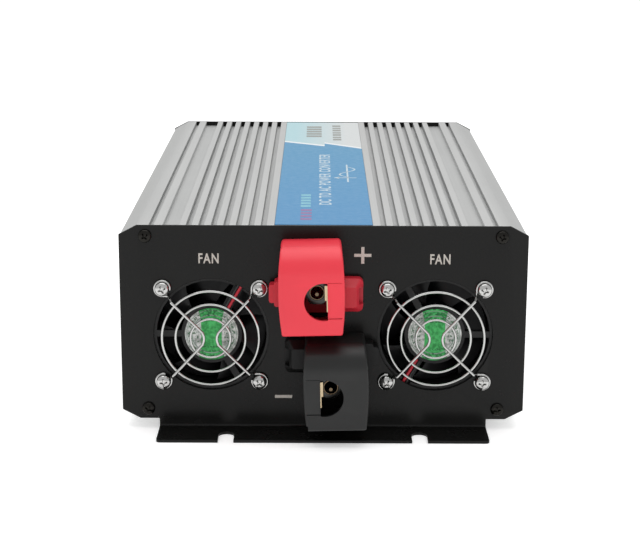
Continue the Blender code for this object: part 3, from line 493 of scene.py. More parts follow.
def hub_print(centre_x, centre_z, turned_round):
    """Fan sticker: mottled silver film with rings, dashes for its print, and a flared green band."""
    shader = Shader("fan_sticker_turned" if turned_round else "fan_sticker")
    shader.set(metallic=0.35)
    x, _, z = shader.axes()
    sign = -1.0 if turned_round else 1.0

    def from_centre(axis, centre):
        in_mm = shader.math("MULTIPLY", axis, 1 / MM)
        return shader.math("MULTIPLY", shader.math("SUBTRACT", in_mm, centre), sign)

    def within(value, limit):
        return shader.math("LESS_THAN", shader.math("ABSOLUTE", value), limit)

    def ring(middle, half_width):
        return within(shader.math("SUBTRACT", radius, middle), half_width)

    def both(first, second):
        return shader.math("MULTIPLY", first, second)

    across = from_centre(x, centre_x)
    up = from_centre(z, centre_z)
    squares = shader.math("ADD", shader.math("POWER", across, 2.0), shader.math("POWER", up, 2.0))
    radius = shader.math("SQRT", squares)
    flare = shader.math("MULTIPLY", shader.math("POWER", shader.math("ABSOLUTE", up), 3.0), 0.0007)
    band = within(across, shader.math("ADD", flare, 5.3))
    rings = shader.math("MAXIMUM", ring(10.2, 0.28), ring(12.9, 0.16))
    haze = shader.mapped(shader.noise(520, 4.0), 0.0, 1.0, 0.38, 0.62)
    silver = shader.mix(haze, (0.24, 0.26, 0.24), (0.62, 0.63, 0.61))
    green = shader.mix(haze, (0.016, 0.22, 0.045), (0.060, 0.45, 0.12))
    printed = shader.mix(rings, shader.mix(band, silver, green), (0.20, 0.26, 0.22))
    dashes = shader.math("GREATER_THAN", shader.noise(900, 1.0), 0.50)
    rows = shader.math("GREATER_THAN", shader.math("SINE", shader.math("MULTIPLY", up, 2.6)), 0.0)
    print_rows = both(rows, dashes)
    band_ends = shader.math("GREATER_THAN", shader.math("ABSOLUTE", up), 6.5)
    on_band = both(print_rows, both(band, band_ends))
    columns = shader.math("SUBTRACT", shader.math("ABSOLUTE", across), 8.2)
    beside = both(both(within(columns, 1.6), within(up, 4.5)), print_rows)
    between = both(ring(11.6, 0.7), dashes)
    marks = shader.math("MAXIMUM", shader.math("MAXIMUM", on_band, beside), between)
    shader.colour(shader.mix(shader.math("MULTIPLY", marks, 0.8), printed, (0.008, 0.085, 0.025)))
    shader.rough(shader.mapped(haze, 0.30, 0.42, 0.0, 1.0))
    shader.bump((shader.noise(1400, 2.0), 0.15, 0.006))
    return shader.material


def printed_ink(name, colour):
    """Screen-printed ink with tiny pinholes."""
    shader = Shader(name)
    holes = shader.mapped(shader.noise(2600, 2.0), 0.0, 1.0, 0.35, 0.7)
    shader.colour(shader.mix(holes, scaled(colour, 0.72), colour))
    shader.rough(shader.mapped(shader.noise(700, 2.0), 0.45, 0.6))
    shader.bump((shader.noise(2600, 2.0), 0.2, 0.006))
    return shader.material


def lens(name, colour):
    shader = Shader(name)
    shader.set(coat=0.6, coat_roughness=0.08, subsurface=0.2)
    shader.colour(shader.mix(shader.mapped(shader.noise(500, 2.0), 0.0, 1.0), scaled(colour, 0.75), colour))
    shader.rough(shader.mapped(shader.noise(900, 2.0), 0.10, 0.18))
    shader.bump((shader.noise(1200, 2.0), 0.1, 0.004))
    return shader.material


def lacquered_board():
    shader = Shader("circuit_board")
    tracks = shader.math("GREATER_THAN", shader.noise(90, 2.0, (1, 0.15, 1)), 0.52)
    shader.colour(shader.mix(tracks, (0.015, 0.12, 0.05), (0.03, 0.20, 0.08)))
    shader.rough(shader.mapped(shader.noise(400, 2.0), 0.3, 0.45))
    shader.bump((shader.noise(90, 2.0, (1, 0.15, 1)), 0.3, 0.05))
    return shader.material


def wound_wire():
    """Enamelled wire laid side by side, painted darker between the turns and lighter on their crests: painted
    shade and painted highlight.
    """
    shader = Shader("enamelled_wire")
    shader.set(metallic=0.8)
    _, _, z = shader.axes()
    turns = shader.math("SINE", shader.math("MULTIPLY", z, 5200.0))
    # Painted shade between the turns and painted highlight on their crests.
    crest = shader.mapped(turns, 0.0, 1.0, -1.0, 1.0)
    shader.colour(shader.mix(crest, (0.28, 0.10, 0.03), (0.62, 0.27, 0.09)))
    shader.rough(shader.mapped(shader.noise(700, 2.0), 0.25, 0.4))
    shader.bump((turns, 0.5, 0.2))
    return shader.material


ALUMINIUM = anodised()
BLACK_STEEL = powder_coat()
FILM = overlay_print()
FRAME_BLACK = moulded("fan_frame_plastic", (0.008, 0.008, 0.008), 0.42, specular=0.3)
ROTOR_BLACK = moulded("fan_rotor_plastic", (0.004, 0.004, 0.0045), 0.36, relief=0.005, specular=0.22)
COVER_RED = moulded("red_cover_plastic", (0.74, 0.036, 0.056), 0.40, worn=1.12, patch=30, specular=0.38)
COVER_BLACK = moulded(
    "black_cover_plastic", (0.0092, 0.0096, 0.0094), 0.40, worn=1.7, patch=30, specular=0.35
)
# The insulators are toned deeper than the covers, and the nuts and studs darker than bright metal,
# to look as they do in the covers' shade. They are not measured finishes.
BASE_RED = moulded("red_base_plastic", (0.50, 0.020, 0.036), 0.42, worn=1.12, patch=30, specular=0.32)
BASE_BLACK = moulded("black_base_plastic", (0.0045, 0.0047, 0.0046), 0.42, worn=1.7, patch=30, specular=0.22)
OUTLET_BLACK = moulded("outlet_plastic", (0.020, 0.020, 0.021), 0.42, worn=1.6)
ROCKER_RED = moulded("rocker_plastic", (0.42, 0.012, 0.012), 0.22, coat=0.4, relief=0.004)
CHROME = plated("chrome_plate", (0.50, 0.50, 0.49), 0.11)
NICKEL = plated("nickel_plate", (0.60, 0.59, 0.56), 0.16)
# The dark nickel and dark brass below are painted shade, for the covers' shade on the nuts and studs; they
# are not tarnish.
DARK_NICKEL = plated("shade_darkened_nickel", (0.055, 0.055, 0.052), 0.14)
BRASS = plated("machined_brass", (0.50, 0.40, 0.26), 0.22)
DARK_BRASS = plated("shade_darkened_brass", (0.15, 0.11, 0.07), 0.22)
COPPER = plated("copper_strip", (0.72, 0.36, 0.22), 0.30)
SCREW_BLACK = plated("blackened_steel", (0.022, 0.021, 0.019), 0.22)
INK = printed_ink("panel_ink", (0.56, 0.52, 0.47))
WHITE_INK = printed_ink("overlay_white_ink", (0.56, 0.68, 0.74))
GREY_INK = printed_ink("overlay_grey_ink", (0.30, 0.31, 0.29))
CYAN_INK = printed_ink("overlay_cyan_ink", (0.22, 0.52, 0.62))
PLUM_INK = printed_ink("overlay_plum_ink", (0.28, 0.17, 0.36))
RED_WIRE = moulded("red_wire_sleeve", (0.50, 0.018, 0.035), 0.34)
BLACK_WIRE = moulded("black_wire_sleeve", (0.012, 0.012, 0.012), 0.36)
GREEN_LENS = lens("green_lens", (0.03, 0.50, 0.08))
RED_LENS = lens("red_lens", (0.55, 0.02, 0.015))
BOARD = lacquered_board()
FERRITE = moulded("ferrite", (0.045, 0.045, 0.05), 0.6, relief=0.05)
WIRE = wound_wire()
SLEEVE = moulded("capacitor_sleeve", (0.015, 0.022, 0.09), 0.3)


# ---------------------------------------------------------------- housing and panels


def add_shell_pieces():
    refined("top_housing", ALUMINIUM, 0.35)
    refined("bottom_housing", ALUMINIUM, 0.35)
    refined("front_panel", BLACK_STEEL, 0.25)
    refined("rear_panel", BLACK_STEEL, 0.25)


def lettering(name, words, height, squeeze, weight):
    """Flat printed letters centred on the origin, reading along +X with their tops towards +Y."""
    curve = bpy.data.curves.new(name, "FONT")
    curve.body = words
    curve.size = height * 1.42
    curve.align_x = "CENTER"
    curve.align_y = "CENTER"
    curve.extrude = 0.012
    curve.offset = weight
    curve.space_character = 1.15
    maker = bpy.data.objects.new(name, curve)
    bpy.context.scene.collection.objects.link(maker)
    graph = bpy.context.evaluated_depsgraph_get()
    mesh = bpy.data.meshes.new_from_object(maker.evaluated_get(graph))
    bpy.data.objects.remove(maker, do_unlink=True)
    mesh.transform(Matrix.Diagonal((squeeze, 1, 1, 1)))
    return mesh


def add_overlay():
    """The printed film, with generic lettering, a wave symbol and plain bars laid on it as ink."""
    low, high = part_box("top_overlay")
    low = low / MM
    high = high / MM
    low.x -= 0.3
    high.x += 0.3
    high.z -= 0.05
    film = box(low, high)
    world = Matrix.Identity(4)
    placed("top_overlay_film", film, world, FILM, bevel=0.04, stands_for=["top_overlay"])
    face = PANEL_HEIGHT - 0.05

    def printed(name, outlines, material):
        shapes = [prism(outline, "Z", face + 0.005, face + 0.04) for outline in outlines]
        placed(name, joined(*shapes), FRONT, material)

    def bar(x, y, width, length):
        left = x - width / 2
        right = x + width / 2
        return [(left, y), (right, y), (right, y + length), (left, y + length)]

    wave = []
    for step in range(49):
        y = 130 + 32 * step / 48
        wave.append((14.4 - 4.6 * math.sin(math.tau * (y - 130) / 32), y))
    ribbon = [(x - 0.5, y) for x, y in wave] + [(x + 0.5, y) for x, y in reversed(wave)]
    cross_line = [(8.5, 127.2), (19.6, 127.2), (19.6, 128.4), (8.5, 128.4)]
    arrow = [(6.0, 127.8), (9.4, 125.0), (9.4, 130.6)]
    printed("overlay_wave_symbol", [ribbon], WHITE_INK)
    printed("overlay_wave_axes", [bar(14.4, 115, 1.0, 54), cross_line, arrow], WHITE_INK)
    words = lettering("overlay_words", "DC TO AC POWER CONVERTER", 6.6, 1.0, 0.16)
    turn = Matrix.Translation((1.4, 128.0, face + 0.02)) @ Matrix.Rotation(math.pi / 2, 4, "Z")
    words.transform(turn)
    placed("overlay_lettering", words, FRONT, WHITE_INK)
    printed("overlay_far_bars", [bar(-5.8, 270 + 9.4 * n, 10.2, 6.2) for n in range(5)], GREY_INK)
    printed("overlay_far_marks", [bar(9.6, 257 + 9.2 * n, 5.6, 6.0 - n % 2) for n in range(7)], GREY_INK)
    printed("overlay_near_bars_low", [bar(-9.2, 14 + 7.2 * n, 5.8, 4.6) for n in range(4)], PLUM_INK)
    printed("overlay_near_bars_high", [bar(-9.6, 46 + 7.2 * n, 5.4, 4.6) for n in range(5)], CYAN_INK)


def mark_text(name, words, height, squeeze, x, z):
    """A generic printed word on the front panel, centred on x and z."""
    mesh = lettering(name, words, height, squeeze, 0.14)
    mesh.transform(Matrix.Translation((x, -0.03, z)) @ Matrix.Rotation(math.pi / 2, 4, "X"))
    placed(name, mesh, FRONT, INK)


def add_panel_marks():
    mark_text("left_fan_mark", "FAN", 5.2, 0.72, -59.0, 86.4)
    mark_text("right_fan_mark", "FAN", 5.2, 0.72, 59.9, 86.4)
    stroke = 0.8
    plus = [(4.4, stroke), (stroke, stroke), (stroke, 4.4)]
    outline = []
    for quarter in range(4):
        angle = math.pi / 2 * quarter
        for x, z in plus:
            turned_x = x * math.cos(angle) - z * math.sin(angle)
            turned_z = x * math.sin(angle) + z * math.cos(angle)
            outline.append((20.1 + turned_x, 88.6 + turned_z))
    placed("positive_mark", prism(outline, "Y", -0.05, -0.005), FRONT, INK)
    minus = rounded_rectangle(-25.1, -16.1, 12.3 - stroke, 12.3 + stroke, 0.2)
    placed("negative_mark", prism(minus, "Y", -0.05, -0.005), FRONT, INK)


# ---------------------------------------------------------------- screws


def cross_recess(face, depth, reach, width):
    rings = []
    for y, scale in ((face - 0.3, 1.06), (face + depth, 0.45)):
        long = reach * scale
        short = width * scale
        outline = [(long, short * 0.8), (short * 1.5, short), (short, short * 1.5), (short * 0.8, long)]
        ring = []
        for quarter in range(4):
            angle = math.pi / 2 * quarter
            for x, z in outline:
                turned_x = x * math.cos(angle) - z * math.sin(angle)
                turned_z = x * math.sin(angle) + z * math.cos(angle)
                ring.append((turned_x, y, turned_z))
        rings.append(ring)
    return loft(rings)


def pan_head(radius, height, sides=56):
    """Domed head with a cross recess; its underside is at y = 0."""
    profile = [(0, -height)]
    steps = 10
    for step in range(1, steps + 1):
        angle = math.radians(90 * step / steps)
        profile.append((radius * math.sin(angle) ** 0.8, -height * (0.30 + 0.70 * math.cos(angle) ** 1.1)))
    profile += [(radius, -height * 0.12), (radius * 0.96, 0), (0, 0)]
    head = turned(profile, sides)
    return cut(head, cross_recess(-height, height * 0.62, radius * 0.64, radius * 0.16))


def threaded(radius, pitch, length, sides=24):
    """Rod along +Y with a rolled thread, closed at both ends."""
    depth = pitch * 0.45
    steps_per_turn = sides
    rows = int(length / pitch * 4)
    rings = []
    for row in range(rows + 1):
        y = length * row / rows
        ring = []
        for side in range(steps_per_turn):
            phase = (y / pitch - side / steps_per_turn) % 1.0
            fade = min(1.0, (length - y) / pitch, y / pitch + 0.2)
            crest = radius - depth * abs(2 * phase - 1) * fade
            angle = math.tau * side / steps_per_turn
            ring.append((crest * math.cos(angle), y, crest * math.sin(angle)))
        rings.append(ring)
    return loft(rings)


def add_screws(shape, shank, name, where, material, stands_for):
    """A head and its threaded shank as one piece."""
    placed(name, joined(shape, shank), where, material, stands_for=[stands_for])


def add_panel_screws():
    head = pan_head(3.4, 1.9)
    shank = threaded(1.5, 0.9, 11.8)
    edge = 5.6
    reach = 91.4
    places = [(x, z) for x in (-reach, reach) for z in (edge, PANEL_HEIGHT - edge)]
    for end, where in (("front", FRONT), ("rear", REAR)):
        for number, (x, z) in enumerate(places, 1):
            spin = Matrix.Rotation(math.radians(27 * number), 4, "Y")
            at = where @ Matrix.Translation((x, -GAP, z)) @ spin
            node = f"{end}_panel_screw_{number}"
            add_screws(head, shank, node + "_finish", at, SCREW_BLACK, node)


# ---------------------------------------------------------------- fans

RING_Y = -6.6
LEG_Y = -7.6
EYELET_Y = -GAP - 0.75


def guard_leg():
    """One leg: an eyelet, a run to the middle, a bend and a run out to the next eyelet."""
    rise = (EYELET_Y, EYELET_Y - 0.5, EYELET_Y - 2.2, LEG_Y + 0.8, LEG_Y)
    first = [(x, EYELET_Y, z) for x, z in arc((-25, 25), 3.9, -12, 270, 12)]
    near = ((-22.9, 21.0), (-21.8, 20.8), (-20.9, 20.1), (-19.6, 18.8), (-18.6, 17.8))
    first += [(x, y, z) for (x, z), y in zip(near, rise)]
    middle = [(x, LEG_Y, z) for x, z in arc((-9.3, 0), 6.0, 45, -45, 6)]
    far = ((-21.1, -23.4), (-20.9, -22.4), (-20.4, -21.4), (-19.3, -19.9), (-18.3, -18.9))
    last = [(x, y, z) for (x, z), y in zip(far, rise)]
    last.reverse()
    last += [(x, EYELET_Y, z) for x, z in arc((-25, -25), 3.9, 0, -282, 12)]
    return swept(circle(0.75, 14), smooth_path(first + middle + last, 5))


def guard_wires():
    rings = []
    for radius in (25.0, 18.0, 10.25):
        path = [(x, RING_Y, z) for x, z in circle(radius, 96)]
        rings.append(swept(circle(0.65, 12), path, closed=True))
    return joined(*rings, guard_leg(), turned_about_y(guard_leg(), 180))


def hub_disc():
    """Sticker with a slightly rounded rim."""
    front = 1.1
    rim = [(13.6, front), (13.85, front + 0.08), (13.95, front + 0.25), (13.95, front + 0.4)]
    return turned([(0, front), *rim, (0, front + 0.4)], 96)


def blade(turn):
    """One twisted, cambered fan blade with thin leading and trailing edges."""
    rings = []
    stations = [-1 + 2 * n / 10 for n in range(11)]
    for step in range(9):
        radius = 14.8 + (27.7 - 14.8) * step / 8
        sweep = 0.38 + 0.018 * (radius - 15.4)
        ring = []
        for side in (1, -1):
            for station in stations[::side]:
                camber = 0.10 * (1 - station * station)
                thick = 0.55 * (1 - 0.75 * station**4)
                angle = turn + sweep * station + camber + side * thick / radius
                depth = 15.6 + 6.2 * station
                ring.append((radius * math.cos(angle), depth, radius * math.sin(angle)))
        rings.append(ring)
    return loft(rings)


def rotor_shape():
    rim = [(14.6, 6.1), (15.1, 6.3), (15.4, 6.9), (15.4, 24.4), (14.6, 25.2)]
    hub = turned([(2.4, 6.1), *rim, (0, 25.2), (0, 16), (2.4, 16)], 72)
    return joined(hub, *[blade(math.tau * number / 7) for number in range(7)])


def lead_core(offset, tail):
    """One round core of the two-core lead."""
    direction = math.radians(60.0)
    along = Vector((math.cos(direction), 0, math.sin(direction)))
    across = Vector((math.sin(direction), 0, -math.cos(direction))) * offset
    depth = 1.8 + 0.85 + 0.3
    reaches = (16.3, 19.0, 22.0, 26.0, 30.0, 33.5, 35.5)
    path = [along * reach + Vector((0, depth, 0)) for reach in reaches]
    path += [along * 37.4 + Vector((0, depth + 0.8, 0)), along * 38.2 + Vector((0, depth + 2.6, 0))]
    path += [Vector(point) for point in tail]
    return swept(circle(0.80, 12), [point + across for point in smooth_path(path, 5)])


def add_fan(side, x, turn, tail):
    centre = FRONT @ Matrix.Translation((x, 0, 45.9)) @ Matrix.Rotation(math.radians(turn), 4, "Y")
    refined(f"{side}_fan_frame", FRAME_BLACK, 0.35)
    rotor = [f"{side}_fan_rotor"]
    guard = [f"{side}_fan_guard"]
    label = [f"{side}_fan_hub_label"]
    lead = [f"{side}_fan_lead"]
    turning = f"{side}_rotor"
    placed(f"{side}_fan_blades", rotor_shape(), centre, ROTOR_BLACK, turning, 0.12, 2, rotor)
    placed(f"{side}_guard_wires", guard_wires(), centre, CHROME, stands_for=guard)
    sticker = hub_print(x, 45.9 + BASE_Z, turn > 0)
    placed(f"{side}_hub_sticker", hub_disc(), centre, sticker, stands_for=label)
    red_core = lead_core(0.80, tail)
    black_core = lead_core(-0.80, tail)
    placed(f"{side}_lead_red_core", red_core, centre, RED_WIRE, stands_for=lead)
    placed(f"{side}_lead_black_core", black_core, centre, BLACK_WIRE)
    head = pan_head(3.7, 2.5)
    shank = threaded(1.9, 1.2, 9.3)
    corners = ((-1, 1), (1, 1), (1, -1), (-1, -1))
    for number, (dx, dz) in enumerate(corners, 1):
        spin = Matrix.Rotation(math.radians(35 * number + x), 4, "Y")
        at = centre @ Matrix.Translation((dx * 25, EYELET_Y - 0.75 - GAP, dz * 25)) @ spin
        node = f"{side}_fan_screw_{number}"
        add_screws(head, shank, node + "_finish", at, CHROME, node)


def add_fans():
    left_tail = ((19.0, 20, 33.0), (19.0, 30, 32.0), (19.0, 36, 26.0), (19.0, 42, -8.0), (19.0, 46, -28.0))
    right_tail = ((19.0, 20, 33.0), (19.0, 30, 32.4), (19.0, 38, 29.6), (19.0, 46, 28.6), (19.0, 56, 28.6))
    add_fan("left", -58.0, 0, left_tail)
    add_fan("right", 58.0, 180, right_tail)


# ---------------------------------------------------------------- battery terminals

COVER_REACH = 30.0
COVER_WALL = 2.0
COVER_CENTRE = -5.9
COVER_LEAN = -1.3
SIGHT_RADIUS = 9.7
SIGHT_FLAT = 2.1
SIGHT_DROP = 0.75
TONGUE_TOP = 9.0
TONGUE_BOTTOM = -9.4
STUD_OFFSET = -3.3
STUD_TIP = -17.5


def cover_front(inset):
    front = -COVER_REACH + inset
    bottom = -18.5 + inset
    top = 25.0 - inset
    corner = max(0.5, 1.8 - inset)
    radius = 12.6 - inset
    outline = arc((front + corner, bottom + corner), corner, 270, 180, 6)
    outline += [(front, -10.0), (front, -4.0), (front, 2.0), (front, 8.0)]
    outline += arc((front + radius, top - radius), radius, 180, 90, 20)
    return outline


def cover_half_width(z):
    return 15.1 + 1.6 * (1 - ((z - 3.0) / 22.0) ** 2)


def cover_block(inset, back, rounding=0.0):
    """The cover's outline given its width at each height, with its front corners rounded."""
    rings = []
    for y, z in cover_front(inset):
        half = cover_half_width(z) - inset
        left = COVER_CENTRE - half
        right = COVER_CENTRE + half
        if rounding:
            plan = arc((left + rounding, y + rounding), rounding, 180, 270, 5)
            plan += arc((right - rounding, y + rounding), rounding, 270, 360, 5)
        else:
            plan = [(left, y), (right, y)]
        plan += [(right, back), (left, back)]
        rings.append([(x, depth, z) for x, depth in plan])
    return loft(rings)


def cover_silhouette(upper, lower):
    """Front view of the cover with rounded corners, as one long cutter."""
    bottom = -18.5
    top = 25.0
    heights = [bottom + lower + (top - upper - bottom - lower) * n / 16 for n in range(17)]
    high_half = cover_half_width(heights[-1]) - upper
    low_half = cover_half_width(heights[0]) - lower
    outline = [(COVER_CENTRE + cover_half_width(z), z) for z in heights]
    outline += arc((COVER_CENTRE + high_half, top - upper), upper, 0, 90, 6)[1:]
    outline += arc((COVER_CENTRE - high_half, top - upper), upper, 90, 180, 6)[:-1]
    outline += [(COVER_CENTRE - cover_half_width(z), z) for z in reversed(heights)]
    outline += arc((COVER_CENTRE - low_half, bottom + lower), lower, 180, 270, 6)[1:]
    outline += arc((COVER_CENTRE + low_half, bottom + lower), lower, 270, 360, 6)[:-1]
    return prism(outline, "Y", -60, 20)


def cover_shape(ear_z, low_corner_step):
    """Pull-off cover: rounded shell, D-shaped sight hole, recessed tongue and side notches."""
    cutoff = math.degrees(math.acos(SIGHT_FLAT / SIGHT_RADIUS))
    front = -COVER_REACH
    hole = arc((0, -SIGHT_DROP), SIGHT_RADIUS, cutoff, 360 - cutoff, 72)
    sight = prism(hole, "Y", front - 1, front + COVER_WALL + 1)
    shelf = box((SIGHT_FLAT + 0.4, front - 1, TONGUE_BOTTOM), (20, front + 0.3, TONGUE_TOP))
    groove_end = 9.2
    upper_line = box((SIGHT_FLAT, front - 1, TONGUE_TOP - 0.15), (groove_end, front + 0.8, TONGUE_TOP + 0.15))
    lower_start = (SIGHT_FLAT, front - 1, TONGUE_BOTTOM - 0.2)
    lower_line = box(lower_start, (groove_end, front + 1.1, TONGUE_BOTTOM + 0.2))
    ear_notch = box((5.6, -11.2, ear_z - 9.4), (20, 5, ear_z + 9.4))
    boss_notch = box((-30, -9.1, ear_z + 1.1 - 7.3), (-18.4, 5, ear_z + 1.1 + 7.3))
    trim = box((-40, -GAP, -40), (40, 10, 40))
    block = common(cover_block(0.0, 4.0, 1.5), cover_silhouette(2.0, 1.2))
    shell = cut(block, cover_block(COVER_WALL, 8.0))
    cutters = [sight, shelf, upper_line, lower_line, ear_notch, boss_notch, trim]
    if low_corner_step:
        cutters.append(box((8.6, front - 1, -20), (14, front + 9, -15.6)))
    return cut(shell, *cutters)


def hex_nut(corner, thickness, bore):
    """Hexagon with chamfered corners on both faces."""
    hexagon = prism(circle(corner, 6), "Y", -thickness, 0)
    drop = 0.9
    flat = corner * 0.90
    reach = corner * 1.02
    front = [(0, -thickness), (flat, -thickness), (reach, -thickness + drop)]
    envelope = turned([*front, (reach, -drop), (flat, 0), (0, 0)], 72)
    return cut(common(hexagon, envelope), cylinder(bore, -thickness - 1, 1, 48))


def mirrored_about_x(mesh):
    mesh = mesh.copy()
    mesh.transform(Matrix.Scale(-1, 4, (1, 0, 0)))
    mesh.flip_normals()
    return mesh


def stud_shape():
    """Brass stud: threaded in front, with a pointed end and a plain collar behind the panel."""
    length = 22.0
    rod = moved(threaded(3.9, 1.25, length, 36), (0, STUD_TIP + 3.4, 0))
    cone = [(0, STUD_TIP), (0.9, STUD_TIP), (3.35, STUD_TIP + 3.0), (3.35, STUD_TIP + 3.6)]
    point = turned([*cone, (0, STUD_TIP + 3.6)], 48)
    flange = [(0, 6.3), (6.2, 6.3), (6.4, 6.5), (6.4, 9.1), (6.2, 9.3)]
    tail = [(3.9, 9.3), (3.9, 14.8), (3.7, 15.0), (0, 15.0)]
    collar = turned(flange + tail, 48)
    return joined(rod, point, collar)


def spring_strip():
    """Brass strip inside the cover's tongue, with its edge bent towards the nut."""
    front = -COVER_REACH + COVER_WALL + 0.15

    def bent(edge):
        outer = [(edge, front + 1.6), (edge + 0.4, front + 0.5), (edge + 1.3, front), (6.5, front)]
        inner = [(6.5, front + 0.5), (edge + 1.5, front + 0.5)]
        return outer + inner + [(edge + 0.9, front + 0.9), (edge + 0.5, front + 1.8)]

    return joined(prism(bent(0.2), "Z", -0.6, 7.2), prism(bent(1.1), "Z", -6.5, -0.6))


def add_terminals():
    stud = stud_shape()
    nut = hex_nut(7.1, 6.5, 4.2)
    washer = turned([(4.25, -1.6), (6.95, -1.6), (7.1, -1.45), (7.1, -0.15), (6.95, 0), (4.25, 0)], 64)
    lean = Matrix.Rotation(math.radians(COVER_LEAN), 4, "Y")
    sides = (
        ("positive", -3.6, False, COVER_RED, BASE_RED, "red_plastic"),
        ("negative", 13.9, True, COVER_BLACK, BASE_BLACK, "cover_black"),
    )
    for side, ear_z, flip, plastic, base_plastic, slot in sides:
        low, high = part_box(f"{side}_terminal_washer")
        middle = (low + high) / 2 / MM
        axis = Matrix.Translation((middle.x, FRONT_Y, middle.z))
        offset = -STUD_OFFSET if flip else STUD_OFFSET
        centre = Matrix.Translation((middle.x - offset, FRONT_Y, middle.z))
        cover = cover_shape(ear_z, flip)
        strip = spring_strip()
        if flip:
            cover = mirrored_about_x(cover)
            strip = mirrored_about_x(strip)
        tilted = centre @ lean
        body = f"{side}_cover"
        shell_node = [f"{side}_terminal_cover"]
        stud_node = [f"{side}_terminal_stud"]
        washer_node = [f"{side}_terminal_washer"]
        nut_node = [f"{side}_terminal_nut"]
        placed(f"{side}_cover_shell", cover, tilted, plastic, body, 0.22, 2, shell_node)
        placed(f"{side}_cover_spring", strip, tilted, BRASS, body, 0.08)
        refined(f"{side}_terminal_base", base_plastic, 0.45, 3)
        placed(f"{side}_stud_thread", stud, axis, DARK_BRASS, stands_for=stud_node)
        at = axis @ Matrix.Translation((0, -5.3, 0))
        body = f"{side}_washer"
        placed(f"{side}_flat_washer", washer, at, NICKEL, body, stands_for=washer_node)
        at = axis @ Matrix.Translation((0, -7.2, 0))
        placed(f"{side}_hex_nut", nut, at, DARK_NICKEL, f"{side}_nut", 0.12, 2, nut_node)


# ---------------------------------------------------------------- outlet end


def outlet_shape():
    """Outlet face with a raised rim, a round well, side ribs and shuttered pin holes."""
    flange = prism(rounded_rectangle(-26, 26, -26, 26, 5, 8), "Y", -3.0, -GAP)
    rim = turned([(19.6, -3.3), (22.4, -3.3), (23.0, -2.9), (23.0, -2.0), (19.6, -2.0)], 96)
    body = cylinder(22.5, -1.0, 23.0, 96)
    well = cylinder(19.5, -5, 14.2, 96)
    shape = cut(fused(flange, body, rim), well)
    ribs = [box((side * 19.6 - 1.6, -2.4, -2.6), (side * 19.6 + 1.6, 14.3, 2.6)) for side in (-1, 1)]
    holes = [cylinder(2.6, 10, 20, 32, (x, 0)) for x in (-9.5, 9.5)]
    return cut(fused(shape, *ribs), *holes)


def earth_clip(sign):
    """Sprung earth contact in the well's edge."""
    spring = ((-2.6, 19.2), (13.8, 19.2), (13.8, 18.2), (8.0, 16.6), (2.0, 17.0), (-2.6, 18.4))
    outline = [(y, sign * reach) for y, reach in spring]
    return prism(outline, "X", -2.2, 2.2)


def shutter_shape():
    """Small disc that closes a pin hole."""
    return turned([(0, 0), (2.5, 0), (2.5, 1.0), (0, 1.0)], 32)


def add_outlets():
    shape = outlet_shape()
    for number, x in enumerate((-62.0, -4.0), 1):
        centre = REAR @ Matrix.Translation((x, 0, 62.0))
        name = f"ac_outlet_{number}"
        placed(name + "_face", shape, centre, OUTLET_BLACK, "chassis", 0.3, 2, [name])
        clips = joined(earth_clip(1), earth_clip(-1))
        placed(name + "_earth_clips", clips, centre, NICKEL, bevel=0.15)
        for hole, dx in enumerate((-9.5, 9.5), 1):
            at = centre @ Matrix.Translation((dx, 17.0, 0))
            shutter = shutter_shape()
            placed(f"{name}_shutter_{hole}", shutter, at, OUTLET_BLACK)


def rocker_shape():
    """Rocker whose pressing face is a smooth hollow between two raised ends."""
    face = []
    for step in range(25):
        z = 11.2 - 22.4 * step / 24
        face.append((-3.9 - 1.6 * (z / 11.2) ** 2, z))
    section = face + [(-1.5, -11.0), (4.0, -4.0), (4.0, 4.0), (-1.5, 11.0)]
    return prism(section, "X", -8.5, 8.5)


def add_switch():
    refined("power_switch_housing", FRAME_BLACK, 0.4, 3)
    pivot = REAR @ Matrix.Translation((48.0, 2.0, 66.0)) @ Matrix.Rotation(math.radians(8.0), 4, "X")
    cap = rocker_shape()
    placed("rocker_cap", cap, pivot, ROCKER_RED, "rocker", 0.5, 3, ["power_rocker"])
    on_mark = prism(rounded_rectangle(-0.4, 0.4, 4.6, 8.6, 0.3), "Y", -5.2, -4.0)
    off_mark = cut(cylinder(2.0, -5.2, -4.0, 40, (0, -6.6)), cylinder(1.3, -6, -3, 40, (0, -6.6)))
    placed("rocker_on_mark", on_mark, pivot, WHITE_INK, "rocker")
    placed("rocker_off_mark", off_mark, pivot, WHITE_INK, "rocker")


def add_small_rear_pieces():
    refined("usb_port", FRAME_BLACK, 0.25)
    usb = REAR @ Matrix.Translation((78.0, 0, 66.0))
    liner = cut(box((-6.3, -0.6, -2.6), (6.3, 10.0, 2.6)), box((-6.05, -2, -2.35), (6.05, 11, 2.35)))
    placed("usb_liner", liner, usb, NICKEL, bevel=0.08)
    contacts = [box((x - 0.5, 1.2, -0.35), (x + 0.5, 9.0, -0.22)) for x in (-3.5, -1.0, 1.0, 3.5)]
    placed("usb_contacts", joined(*contacts), usb, BRASS)
    dome = [(0, -2.6)]
    for step in range(1, 9):
        angle = math.radians(90 * step / 8)
        dome.append((2.5 * math.sin(angle), -2.6 * math.cos(angle)))
    lamp = turned([*dome, (2.5, 1.8), (3.2, 1.8), (3.2, 3.0), (0, 3.0)], 48)
    lamps = (("power_led", 72.0, GREEN_LENS, "green_lens"), ("fault_led", 84.0, RED_LENS, "red_lens"))
    for name, x, glass, slot in lamps:
        at = REAR @ Matrix.Translation((x, 0, 84.0))
        placed(name + "_lens", lamp, at, glass, stands_for=[name])
    ground = REAR @ Matrix.Translation((78.0, 0, 30.0))
    washer = turned([(0, -1.4), (6.3, -1.4), (6.5, -1.2), (6.5, -0.5), (6.3, -GAP), (0, -GAP)], 64)
    head = common(
        prism(circle(5.6, 6), "Y", -6.0, -1.3),
        turned([(0, -6.0), (4.9, -6.0), (5.7, -5.3), (5.7, -1.3), (0, -1.3)], 64),
    )
    stud = moved(threaded(2.5, 0.8, 12.2), (0, -0.3, 0))
    shape = joined(washer, head, stud)
    placed("earth_screw", shape, ground, BRASS, bevel=0.1, stands_for=["ground_screw"])


